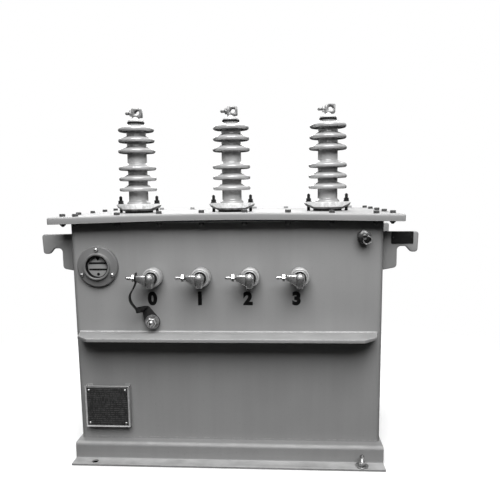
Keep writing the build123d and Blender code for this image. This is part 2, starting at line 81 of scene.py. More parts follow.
# Turns of a piece that is made along +Z
OUT_OF_FRONT = Matrix.Rotation(math.pi / 2, 4, "X")
ALONG_Y = Matrix.Rotation(-math.pi / 2, 4, "X")
UPSIDE_DOWN = Matrix.Rotation(math.pi, 4, "X")
TO_THE_LEFT = Matrix.Rotation(-math.pi / 2, 4, "Y")
HALF_ROUND = Matrix.Rotation(math.pi, 4, "Z")
EDGE_FORWARD = Matrix.Rotation(math.pi / HEX_SIDES, 4, "Z")

# Where most values of a noise lie, and how far a bump made from one is let through
NOISE_RANGE = (0.3, 0.7)
BUMP_STRENGTH = 0.6

# Sockets of a Mix node that mixes colours
MIX_INPUTS = (0, 6, 7)
MIX_OUTPUT = 2

Profile = Sequence[tuple[float, float]]
Test = Callable[[Vector, Vector], bool]
Maker = Callable[[type], bpy.types.NodeTree]


class Slot(Enum):
    """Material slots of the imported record."""

    TANK = "tank_paint"
    LID = "lid_paint"
    PORCELAIN = "porcelain"
    CLAMP = "clamp_metal"
    TINNED = "tinned_metal"
    STRAP = "strap_metal"
    RUBBER = "gasket_rubber"
    GAUGE = "gauge_metal"
    DIAL = "gauge_dial"
    VALVE = "valve_metal"


class Side(Enum):
    """The four sides of the lid."""

    FRONT = "front"
    REAR = "rear"
    LEFT = "left"
    RIGHT = "right"


def middle_of(node: str) -> Vector:
    """Returns the middle of a CAD node's box, in metres."""
    low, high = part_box(node)
    return (low + high) / 2


def wall_place(node: str) -> Vector:
    """Returns where the middle of a CAD node meets the tank's front wall, in metres."""
    middle = middle_of(node)
    return Vector((middle.x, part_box("tank_front_shell")[0].y, middle.z))


def alone(obj: bpy.types.Object) -> None:
    """Makes one object the only selected and the active one.

    Args:
        obj: The object.
    """
    bpy.ops.object.select_all(action="DESELECT")
    obj.select_set(True)
    bpy.context.view_layer.objects.active = obj


def along_y(_: Vector, along: Vector) -> bool:
    """Picks the edges that run along Y, by their direction."""
    return abs(along.y) > ALONG_AXIS


def tint(grey: float) -> tuple[float, float, float, float]:
    """Returns a neutral colour of a linear grey."""
    return (grey, grey, grey, 1.0)


class Sheet:
    """A node tree, with short calls for the nodes that the finishes use."""

    def __init__(self, tree: bpy.types.NodeTree) -> None:
        """Takes the tree that the nodes go into."""
        self.tree = tree

    def feed(self, socket: bpy.types.NodeSocket, value: Any) -> None:
        """Links a socket to another socket, or sets its own value.

        Args:
            socket: The socket that is fed.
            value: Another socket, or a plain value.
        """
        if isinstance(value, bpy.types.NodeSocket):
            self.tree.links.new(value, socket)
        else:
            socket.default_value = value

    def node(self, kind: str, **values: Any) -> bpy.types.Node:
        """Adds a node and feeds its named inputs.

        Args:
            kind: The node's type, without its ShaderNode prefix.
            values: Input names, with _ for a space, and what feeds them.

        Returns:
            The new node.
        """
        made = self.tree.nodes.new("ShaderNode" + kind)
        for name, value in values.items():
            self.feed(made.inputs[name.replace("_", " ")], value)
        return made

    def place(self) -> bpy.types.NodeSocket:
        """Returns the piece's own coordinates, in metres."""
        return self.node("TexCoord").outputs["Object"]

    def coordinate(self, axis: str) -> bpy.types.NodeSocket:
        """Returns one of the piece's own coordinates, in metres."""
        return self.node("SeparateXYZ", Vector=self.place()).outputs[axis]

    def normal(self) -> bpy.types.NodeSocket:
        """Returns the way that the surface faces."""
        return self.node("NewGeometry").outputs["Normal"]

    def rise(self) -> bpy.types.NodeSocket:
        """Returns how far the surface faces up: 1 up, 0 level, -1 down."""
        return self.node("SeparateXYZ", Vector=self.normal()).outputs["Z"]

    def noise(
        self, scale: float, detail: float, stretch: Sequence[float] = (1, 1, 1)
    ) -> bpy.types.NodeSocket:
        """Adds a noise over the piece's coordinates.

        Args:
            scale: Lumps per metre, roughly.
            detail: Octaves of finer noise.
            stretch: Scale along each axis, on top of the first.

        Returns:
            The noise value, about 0.3 to 0.7.
        """
        where = self.node("Mapping", Vector=self.place(), Scale=tuple(stretch)).outputs[0]
        return self.node("TexNoise", Vector=where, Scale=scale, Detail=detail).outputs[0]

    def patches(
        self,
        scale: float,
        detail: float,
        within: Sequence[float] = NOISE_RANGE,
        ends: Sequence[float] = (0.0, 1.0),
        stretch: Sequence[float] = (1, 1, 1),
    ) -> bpy.types.NodeSocket:
        """Spreads a noise between two ends.

        Args:
            scale: Lumps per metre, roughly.
            detail: Octaves of finer noise.
            within: The noise values at which the ends are reached.
            ends: The first and the last value.
            stretch: Scale along each axis, on top of the first.

        Returns:
            The spread value.
        """
        return self.span(self.noise(scale, detail, stretch), *within, *ends)

    def span(
        self, value: Any, low: float, high: float, start: float = 0.0, end: float = 1.0
    ) -> bpy.types.NodeSocket:
        """Maps low..high of a value to start..end, clamped at both."""
        limits = {"From_Min": low, "From_Max": high, "To_Min": start, "To_Max": end}
        return self.node("MapRange", Value=value, **limits).outputs[0]

    def maths(self, operation: str, first: Any, second: Any = 0.0) -> bpy.types.NodeSocket:
        """Adds a maths node.

        Args:
            operation: What it does.
            first: Its first value.
            second: Its second value, where it takes one.

        Returns:
            The result.
        """
        made = self.node("Math")
        made.operation = operation
        self.feed(made.inputs[0], first)
        self.feed(made.inputs[1], second)
        return made.outputs[0]

    def times(self, first: Any, second: Any) -> bpy.types.NodeSocket:
        """Multiplies two values."""
        return self.maths("MULTIPLY", first, second)

    def vector(self, operation: str, first: Any, second: Any = (0, 0, 0)) -> bpy.types.NodeSocket:
        """Adds a vector maths node.

        Args:
            operation: What it does.
            first: Its first vector.
            second: Its second vector, where it takes one.

        Returns:
            The result: a number for a product or a length, and otherwise a vector.
        """
        made = self.node("VectorMath")
        made.operation = operation
        self.feed(made.inputs[0], first)
        self.feed(made.inputs[1], second)
        return made.outputs["Value" if operation in ("DOT_PRODUCT", "LENGTH") else "Vector"]

    def blend(self, share: Any, first: Any, second: Any) -> bpy.types.NodeSocket:
        """Mixes two colours by a share that varies over the surface.

        Args:
            share: How much of the second colour there is.
            first: The first colour.
            second: The second colour.

        Returns:
            The mixed colour.
        """
        made = self.node("Mix")
        made.data_type = "RGBA"
        for index, value in zip(MIX_INPUTS, (share, first, second)):
            self.feed(made.inputs[index], value)
        return made.outputs[MIX_OUTPUT]

    def group(self, tree: bpy.types.NodeTree, **values: float) -> bpy.types.NodeSocket:
        """Places a shared node group with its own values.

        Args:
            tree: The group.
            values: Input names and their values.

        Returns:
            The group's output.
        """
        made = self.tree.nodes.new("ShaderNodeGroup")
        made.node_tree = tree
        for name, value in values.items():
            made.inputs[name].default_value = value
        return made.outputs[0]


def built_once(make: Maker) -> Maker:
    """Lets the maker of a node group run at the first call only.

    Args:
        make: The maker, which has its group's name.

    Returns:
        A function that finds the group, or has it made.
    """

    def fetch(cls: type) -> bpy.types.NodeTree:
        """Returns the group, made now if it isn't there yet."""
        return bpy.data.node_groups.get(make.__name__) or make(cls)

    return fetch


class Effect:
    """Shader node groups that several finishes share, each built once."""

    @staticmethod
    def _begin(
        name: str, inputs: dict[str, float], output: str
    ) -> tuple[Sheet, dict[str, bpy.types.NodeSocket], bpy.types.NodeSocket]:
        """Starts a group with float inputs and one float output.

        Args:
            name: The group's name.
            inputs: Input names with their first values.
            output: The output's name.

        Returns:
            The group's sheet, its input sockets by name and its output socket.
        """
        tree = bpy.data.node_groups.new(name, "ShaderNodeTree")
        for label, value in inputs.items():
            socket = tree.interface.new_socket(label, in_out="INPUT", socket_type="NodeSocketFloat")
            socket.default_value = value
        tree.interface.new_socket(output, in_out="OUTPUT", socket_type="NodeSocketFloat")
        entry = tree.nodes.new("NodeGroupInput")
        leave = tree.nodes.new("NodeGroupOutput")
        return Sheet(tree), {label: entry.outputs[label] for label in inputs}, leave.inputs[output]

    @classmethod
    @built_once
    def weathering(cls) -> bpy.types.NodeTree:
        """Makes the group for upright streaks and soft blotches on a painted wall.

        Returns:
            The group.
        """
        sheet, given, shade = cls._begin("weathering", {"Streaks": 0.1, "Blotches": 0.1}, "Shade")
        streak = sheet.patches(scale=34, detail=4, within=(0.36, 0.72), stretch=(1, 1, 0.05))
        patch = sheet.patches(scale=5, detail=5)
        fleck = sheet.patches(scale=160, detail=2, within=(0.62, 0.74))
        dark = sheet.times(streak, given["Streaks"])
        soft = sheet.times(patch, given["Blotches"])
        spots = sheet.times(fleck, given["Blotches"])
        sheet.feed(shade, sheet.maths("ADD", sheet.maths("ADD", dark, soft), spots))
        return sheet.tree

    @classmethod
    @built_once
    def edge_wear(cls) -> bpy.types.NodeTree:
        """Makes the group for rubbed outer edges and a painted edge highlight, broken up by noise.

        Returns:
            The group.
        """
        inputs = {"Radius": 0.003, "Amount": 0.5, "Even": 0.0}
        sheet, given, mask = cls._begin("edge_wear", inputs, "Mask")
        soft = sheet.node("Bevel", Radius=given["Radius"]).outputs[0]
        turn = sheet.vector("DOT_PRODUCT", soft, sheet.normal())
        edge = sheet.span(turn, low=0.995, high=0.90)
        # The Even input lifts the noise so that the painted highlight runs unbroken along the edge.
        noise = sheet.maths("ADD", sheet.noise(scale=90, detail=4), given["Even"])
        broken = sheet.span(noise, low=0.42, high=0.66)
        sheet.feed(mask, sheet.times(sheet.times(edge, broken), given["Amount"]))
        return sheet.tree

    @classmethod
    @built_once
    def settled_dust(cls) -> bpy.types.NodeTree:
        """Makes the group for dust on faces that look up, which also paints those tops lighter as
        painted top light.

        Returns:
            The group.
        """
        sheet, given, mask = cls._begin("settled_dust", {"Amount": 0.3}, "Mask")
        up = sheet.span(sheet.rise(), low=0.55, high=0.95)
        lie = sheet.patches(scale=22, detail=5, within=(0.3, 0.65), ends=(0.35, 1.0))
        sheet.feed(mask, sheet.times(sheet.times(up, lie), given["Amount"]))
        return sheet.tree

    @classmethod
    @built_once
    def under_grime(cls) -> bpy.types.NodeTree:
        """Makes the group for painted shade on faces that look down.

        Returns:
            The group.
        """
        sheet, given, mask = cls._begin("under_grime", {"Amount": 0.9}, "Mask")
        down = sheet.span(sheet.rise(), low=-0.1, high=-0.45)
        thick = sheet.patches(scale=60, detail=4, within=(0.3, 0.6), ends=(0.75, 1.0))
        sheet.feed(mask, sheet.times(sheet.times(down, thick), given["Amount"]))
        return sheet.tree

    @classmethod
    @built_once
    def shelter(cls) -> bpy.types.NodeTree:
        """Makes the group for painted shade where the surface is sheltered, under overhangs and in
        nooks.

        Returns:
            The group.
        """
        inputs = {"Reach": 0.03, "Lean": 0.0, "Amount": 0.6}
        sheet, given, mask = cls._begin("shelter", inputs, "Mask")
        lean = sheet.node("CombineXYZ", Z=given["Lean"]).outputs[0]
        look = sheet.vector("NORMALIZE", sheet.vector("ADD", sheet.normal(), lean))
        # Painted shade: ambient occlusion, tilted up by Lean, darkens the colour where little open
        # sky is seen.
        sky = sheet.node("AmbientOcclusion", Distance=given["Reach"], Normal=look)
        shut = sheet.span(sky.outputs["AO"], low=0.62, high=0.22)
        sheet.feed(mask, sheet.times(shut, given["Amount"]))
        return sheet.tree

    @classmethod
    @built_once
    def fine_grain(cls) -> bpy.types.NodeTree:
        """Makes the group for the fine height of sprayed, cast or rolled surfaces.

        Returns:
            The group.
        """
        sheet, given, height = cls._begin("fine_grain", {"Scale": 400.0, "Waves": 0.3}, "Height")
        fine = sheet.node("TexNoise", Vector=sheet.place(), Scale=given["Scale"], Detail=3.0)
        broad = sheet.times(sheet.noise(scale=9, detail=2), given["Waves"])
        sheet.feed(height, sheet.maths("ADD", fine.outputs[0], broad))
        return sheet.tree


@dataclass(frozen=True)
class Finish:
    """A surface finish: one material, made at first use and then shared."""

    name: str
    slot: Slot
    grey: float
    roughness: float

    def material(self) -> bpy.types.Material:
        """Finds the finish's material, or makes it.

        Returns:
            The material.
        """
        known = bpy.data.materials.get(self.name)
        if known:
            return known
        made = bpy.data.materials.new(self.name)
        made.use_nodes = True
        self.mix(Sheet(made.node_tree), made.node_tree.nodes["Principled BSDF"])
        return made

    def mix(self, sheet: Sheet, shader: bpy.types.Node) -> None:
        """Builds the finish's nodes; each kind of finish has its own."""
        raise NotImplementedError

    def grain(
        self, sheet: Sheet, shader: bpy.types.Node, scale: float, depth: float, waves: float = 0.0
    ) -> None:
        """Gives the shader a fine bump.

        Args:
            sheet: The material's sheet.
            shader: The material's shader.
            scale: Grains per metre, roughly.
            depth: Height of the grain, in metres.
            waves: Share of slow unevenness, as in rolled sheet.
        """
        height = sheet.group(Effect.fine_grain(), Scale=scale, Waves=waves)
        bump = sheet.node("Bump", Strength=BUMP_STRENGTH, Distance=depth, Height=height)
        sheet.feed(shader.inputs["Normal"], bump.outputs[0])


@dataclass(frozen=True)
class Enamel(Finish):
    """Sprayed enamel on steel, with streaks, dust with painted top light, and rubbed edges with a
    painted highlight.
    """

    streaks: float = 0.10
    blotches: float = 0.12
    shade_share: float = 0.45
    dust: float = 0.3
    dust_grey: float = 0.5
    dust_roughness: float = 0.4
    # Where set, dust and painted top light lie only this far out along Y; nearer the wall the paint
    # stays darker, as painted shade.
    dust_beyond: float = 0.0
    dust_fade: float = 6 * MM
    wear: float = 0.5
    wear_radius: float = 2.5 * MM
    wear_even: float = 0.0
    bare_grey: float = 0.5
    smoother: float = 0.07
    rougher: float = 0.1
    specular: float = 0.45

    def mix(self, sheet: Sheet, shader: bpy.types.Node) -> None:
        """Builds the paint: shaded base, dust and painted top light on top faces, bright edges of
        wear and painted highlight, sprayed grain.

        Args:
            sheet: The material's sheet.
            shader: The material's shader.
        """
        shade = sheet.group(Effect.weathering(), Streaks=self.streaks, Blotches=self.blotches)
        dust = sheet.group(Effect.settled_dust(), Amount=self.dust)
        # Dust and painted top light keep to the front, away from the wall.
        if self.dust_beyond:
            reach = sheet.maths("ABSOLUTE", sheet.coordinate("Y"))
            limit = self.dust_beyond
            dust = sheet.times(dust, sheet.span(reach, limit, limit + self.dust_fade))
        # Bright edges: wear together with a painted highlight.
        wear = sheet.group(
            Effect.edge_wear(), Radius=self.wear_radius, Amount=self.wear, Even=self.wear_even
        )
        paint = sheet.blend(shade, tint(self.grey), tint(self.grey * self.shade_share))
        paint = sheet.blend(dust, paint, tint(self.dust_grey))
        paint = sheet.blend(wear, paint, tint(self.bare_grey))
        sheet.feed(shader.inputs["Base Color"], paint)
        ends = (self.roughness - self.smoother, self.roughness + self.rougher)
        gloss = sheet.patches(scale=14, detail=4, ends=ends)
        rough = sheet.maths("ADD", gloss, sheet.times(dust, self.dust_roughness))
        sheet.feed(shader.inputs["Roughness"], rough)
        shader.inputs["Specular IOR Level"].default_value = self.specular
        self.grain(sheet, shader, scale=520, depth=0.22 * MM, waves=2.4)


@dataclass(frozen=True)
class Glaze(Finish):
    """Glazed porcelain with a cloudy body, iron specks and a hard gloss."""

    cloud_share: float = 0.86
    specks: float = 0.55
    speck_grey: float = 0.12
    dust: float = 0.5
    dust_grey: float = 0.7
    dirt: float = 0.7
    dirt_share: float = 0.25
    dirt_reach: float = 45 * MM
    dirt_lean: float = 1.2
    rougher: float = 0.12
    coat: float = 1.0
    coat_roughness: float = 0.16
    coat_ior: float = 1.8

    def mix(self, sheet: Sheet, shader: bpy.types.Node) -> None:
        """Builds the glaze: clouds, specks, painted shade under the sheds, dust with a painted top
        light, and a clear coat.

        Args:
            sheet: The material's sheet.
            shader: The material's shader.
        """
        cloud = sheet.patches(scale=26, detail=5, within=(0.32, 0.7))
        body = sheet.blend(cloud, tint(self.grey * self.cloud_share), tint(self.grey))
        speck = sheet.patches(scale=700, detail=1, within=(0.74, 0.78), ends=(0.0, self.specks))
        body = sheet.blend(speck, body, tint(self.speck_grey))
        # Painted shade under the sheds and in the nooks.
        dirt = sheet.group(
            Effect.shelter(), Reach=self.dirt_reach, Lean=self.dirt_lean, Amount=self.dirt
        )
        body = sheet.blend(dirt, body, tint(self.grey * self.dirt_share))
        # Dust whitens the tops of the sheds, partly as painted top light.
        dust = sheet.group(Effect.settled_dust(), Amount=self.dust)
        body = sheet.blend(dust, body, tint(self.dust_grey))
        sheet.feed(shader.inputs["Base Color"], body)
        ends = (self.roughness, self.roughness + self.rougher)
        sheet.feed(shader.inputs["Roughness"], sheet.patches(scale=40, detail=3, ends=ends))
        shader.inputs["Coat Weight"].default_value = self.coat
        shader.inputs["Coat Roughness"].default_value = self.coat_roughness
        shader.inputs["Coat IOR"].default_value = self.coat_ior
        self.grain(sheet, shader, scale=120, depth=0.12 * MM, waves=0.8)


@dataclass(frozen=True)
class Metal(Finish):
    """Bare or plated metal with tarnish in patches and fine scratches."""

    tarnish: float = 0.5
    tarnish_grey: float = 0.25
    tarnish_roughness: float = 0.35
    scratches: float = 0.3
    scratch_share: float = 0.7
    wear: float = 0.35
    wear_radius: float = 1.2 * MM
    bright_share: float = 1.25
    brightest: float = 0.9
    dirt: float = 0.8
    dirt_grey: float = 0.01
    dirt_reach: float = 9 * MM
    metallic: float = 1.0

    def mix(self, sheet: Sheet, shader: bpy.types.Node) -> None:
        """Builds the metal: tarnish patches, scratches, bright edges of wear and painted highlight,
        painted shade in the nooks.

        Args:
            sheet: The material's sheet.
            shader: The material's shader.
        """
        patch = sheet.patches(scale=75, detail=5, within=(0.42, 0.68), ends=(0.0, self.tarnish))
        scratch = sheet.patches(
            scale=420,
            detail=2,
            within=(0.55, 0.75),
            ends=(0.0, self.scratches),
            stretch=(1, 1, 0.06),
        )
        # Bright edges: wear together with a painted highlight.
        wear = sheet.group(Effect.edge_wear(), Radius=self.wear_radius, Amount=self.wear)
        colour = sheet.blend(patch, tint(self.grey), tint(self.tarnish_grey))
        colour = sheet.blend(scratch, colour, tint(self.grey * self.scratch_share))
        bright = min(self.brightest, self.grey * self.bright_share)
        colour = sheet.blend(wear, colour, tint(bright))
        # Painted shade darkens the nooks.
        dirt = sheet.group(Effect.shelter(), Reach=self.dirt_reach, Amount=self.dirt)
        colour = sheet.blend(dirt, colour, tint(self.dirt_grey))
        sheet.feed(shader.inputs["Base Color"], colour)
        dull = sheet.times(patch, self.tarnish_roughness)
        sheet.feed(shader.inputs["Roughness"], sheet.maths("ADD", dull, self.roughness))
        shader.inputs["Metallic"].default_value = self.metallic
        self.grain(sheet, shader, scale=900, depth=0.12 * MM, waves=0.5)


@dataclass(frozen=True)
class Galvanised(Finish):
    """Dull hot-dip zinc with pale spangles and dark runs."""

    metallic: float = 0.3
    spangles: float = 190.0
    spangle_shares: tuple[float, float] = (0.86, 1.1)
    runs: float = 0.8
    run_share: float = 0.55
    dust: float = 0.3
    dust_grey: float = 0.7
    grime: float = 0.9
    grime_grey: float = 0.02
    rougher: float = 0.15

    def mix(self, sheet: Sheet, shader: bpy.types.Node) -> None:
        """Builds the zinc: spangle cells, runs, dust with painted top light, painted shade below
        and a cast skin.

        Args:
            sheet: The material's sheet.
            shader: The material's shader.
        """
        cells = sheet.node("TexVoronoi", Vector=sheet.place(), Scale=self.spangles)
        spangle = sheet.node("SeparateXYZ", Vector=cells.outputs["Color"]).outputs["X"]
        dull, pale = (tint(self.grey * share) for share in self.spangle_shares)
        colour = sheet.blend(spangle, dull, pale)
        runs = sheet.patches(scale=48, detail=5, within=(0.56, 0.72), ends=(0.0, self.runs))
        colour = sheet.blend(runs, colour, tint(self.grey * self.run_share))
        dust = sheet.group(Effect.settled_dust(), Amount=self.dust)
        colour = sheet.blend(dust, colour, tint(self.dust_grey))
        # Painted shade darkens the faces that look down.
        grime = sheet.group(Effect.under_grime(), Amount=self.grime)
        colour = sheet.blend(grime, colour, tint(self.grime_grey))
        sheet.feed(shader.inputs["Base Color"], colour)
        rough = sheet.span(spangle, 0.0, 1.0, self.roughness, self.roughness + self.rougher)
        sheet.feed(shader.inputs["Roughness"], rough)
        shader.inputs["Metallic"].default_value = self.metallic
        self.grain(sheet, shader, scale=350, depth=0.3 * MM, waves=1.0)


@dataclass(frozen=True)
class Rubber(Finish):
    """Black gasket rubber, dusty in patches."""

    bloom: float = 0.5
    bloom_share: float = 3.0
    bloom_roughness: float = 0.95
    specular: float = 0.2

    def mix(self, sheet: Sheet, shader: bpy.types.Node) -> None:
        """Builds the rubber: dull black with grey bloom and pores.

        Args:
            sheet: The material's sheet.
            shader: The material's shader.
        """
        bloom = sheet.patches(scale=60, detail=5, within=(0.4, 0.75), ends=(0.0, self.bloom))
        colour = sheet.blend(bloom, tint(self.grey), tint(self.grey * self.bloom_share))
        sheet.feed(shader.inputs["Base Color"], colour)
        rough = sheet.span(bloom, 0.0, self.bloom, self.roughness, self.bloom_roughness)
        sheet.feed(shader.inputs["Roughness"], rough)
        shader.inputs["Specular IOR Level"].default_value = self.specular
        self.grain(sheet, shader, scale=1400, depth=0.2 * MM)


@dataclass(frozen=True)
class Print(Finish):
    """Flat print or lacquer, a little uneven, with a thin gloss."""

    clouds: float = 0.5
    cloud_share: float = 0.8
    worn: float = 0.25
    worn_grey: float = 0.3
    worn_roughness: float = 0.9
    rows: float = 0.0
    row_share: float = 0.4
    specular: float = 0.1
    coat: float = 0.0
    coat_roughness: float = 0.06

    def mix(self, sheet: Sheet, shader: bpy.types.Node) -> None:
        """Builds the print: base with worn patches, rows of dashes and fine grain.

        Args:
            sheet: The material's sheet.
            shader: The material's shader.
        """
        rub = sheet.patches(scale=130, detail=5, within=(0.5, 0.72), ends=(0.0, self.worn))
        cloud = sheet.patches(scale=30, detail=4, ends=(0.0, self.clouds))
        colour = sheet.blend(cloud, tint(self.grey), tint(self.grey * self.cloud_share))
        if self.rows:
            phase = sheet.maths("FRACT", sheet.times(sheet.coordinate("Z"), self.rows))
            row = sheet.maths("LESS_THAN", phase, self.row_share)
            dashes = sheet.patches(scale=420, detail=1, within=(0.46, 0.54), stretch=(1, 1, 0.2))
            colour = sheet.blend(sheet.times(row, dashes), colour, tint(self.worn_grey))
        sheet.feed(shader.inputs["Base Color"], sheet.blend(rub, colour, tint(self.worn_grey)))
        rough = sheet.span(rub, 0.0, 1.0, self.roughness, self.worn_roughness)
        sheet.feed(shader.inputs["Roughness"], rough)
        shader.inputs["Specular IOR Level"].default_value = self.specular
        shader.inputs["Coat Weight"].default_value = self.coat
        shader.inputs["Coat Roughness"].default_value = self.coat_roughness
        self.grain(sheet, shader, scale=800, depth=0.1 * MM)


TANK_PAINT = Enamel("tank_enamel", Slot.TANK, 0.285, 0.46)
# Near-black flange: painted shade under the lid's rim.
FLANGE_SHADE_PAINT = Enamel("flange_shade_enamel", Slot.TANK, 0.05, 0.6, dust=0.1, wear=0.2)
# Rib: its rubbed edges carry a painted highlight.
RIB_PAINT = Enamel(
    "rib_enamel", Slot.TANK, 0.30, 0.42,
    dust=0.35, wear=0.9, bare_grey=0.72, wear_radius=3.5 * MM, wear_even=0.16,
)
# Rail: dust on the ledge's front part only, as painted top light, leaves the back near the wall
# darker as painted shade.
RAIL_PAINT = Enamel(
    "rail_enamel", Slot.TANK, 0.27, 0.46,
    dust=0.6, wear=0.9, dust_grey=0.55, dust_beyond=269 * MM,
)
# Lid: its dust lightens the top as painted top light, and its edges carry a painted highlight.
LID_PAINT = Enamel(
    "lid_enamel", Slot.LID, 0.30, 0.42,
    streaks=0.04, dust=0.5, wear=0.9, bare_grey=0.55, wear_radius=5 * MM, wear_even=0.2,
)
BOLT_PAINT = Enamel(
    "bolt_enamel", Slot.VALVE, 0.06, 0.5, streaks=0.0, dust=0.25, dust_grey=0.3, bare_grey=0.2
)
GAUGE_PAINT = Enamel(
    "gauge_enamel", Slot.GAUGE, 0.165, 0.4, streaks=0.04, wear=0.8, wear_radius=1.5 * MM
)
PORCELAIN = Glaze("grey_glaze", Slot.PORCELAIN, 0.45, 0.16, dirt=0.8)
PALE_PORCELAIN = Glaze("pale_glaze", Slot.PORCELAIN, 0.44, 0.18, dirt=0.3)
CLAMP_METAL = Galvanised("clamp_zinc", Slot.CLAMP, 0.74, 0.42, metallic=0.15)
CAP_METAL = Galvanised("cap_zinc", Slot.TINNED, 0.86, 0.4, metallic=0.1, grime=0.2)
FRAME_METAL = Galvanised("plate_frame_zinc", Slot.TANK, 0.50, 0.45, metallic=0.2)
TINNED_METAL = Metal(
    "tinned_bronze", Slot.TINNED, 0.74, 0.2,
    tarnish_grey=0.08, tarnish=0.85, metallic=0.9, dirt=1.0,
)
SCREW_METAL = Metal("bright_screw", Slot.TINNED, 0.9, 0.18, tarnish_grey=0.3, tarnish=0.3)
EYE_METAL = Metal(
    "cast_bronze", Slot.TINNED, 0.30, 0.26, tarnish_grey=0.03, tarnish=0.8, metallic=0.7
)
DARK_STEEL = Metal("weathered_steel", Slot.VALVE, 0.05, 0.5, tarnish_grey=0.015, tarnish=0.8)
BOLT_STEEL = Metal(
    "bolt_steel", Slot.TINNED, 0.42, 0.3,
    tarnish_grey=0.05, tarnish=0.9, wear=0.8, metallic=0.7,
)
BRIGHT_STEEL = Metal("zinc_plate", Slot.TINNED, 0.74, 0.22, tarnish_grey=0.2)
STRAP_METAL = Metal("dull_strap", Slot.STRAP, 0.07, 0.42, tarnish_grey=0.03, tarnish=0.6)
VALVE_METAL = Metal("dull_bronze", Slot.VALVE, 0.18, 0.22, tarnish_grey=0.02, tarnish=0.9)
GASKET_RUBBER = Rubber("gasket_black", Slot.RUBBER, 0.008, 0.8)
DIAL_FACE = Print("dial_face", Slot.DIAL, 0.34, 0.35, worn_grey=0.25, coat=1.0)
DIAL_INK = Print("dial_ink", Slot.DIAL, 0.004, 0.6, worn_grey=0.02)
PLATE_LACQUER = Print(
    "plate_lacquer", Slot.VALVE, 0.026, 0.42, worn_grey=0.07, worn=0.5, specular=0.25, rows=170.0
)
LUG_LACQUER = Print("lug_plate_lacquer", Slot.VALVE, 0.012, 0.5, worn_grey=0.03, worn=0.4)
STENCIL_INK = Print("stencil_ink", Slot.TANK, 0.003, 0.7, worn_grey=0.05, worn=0.06)


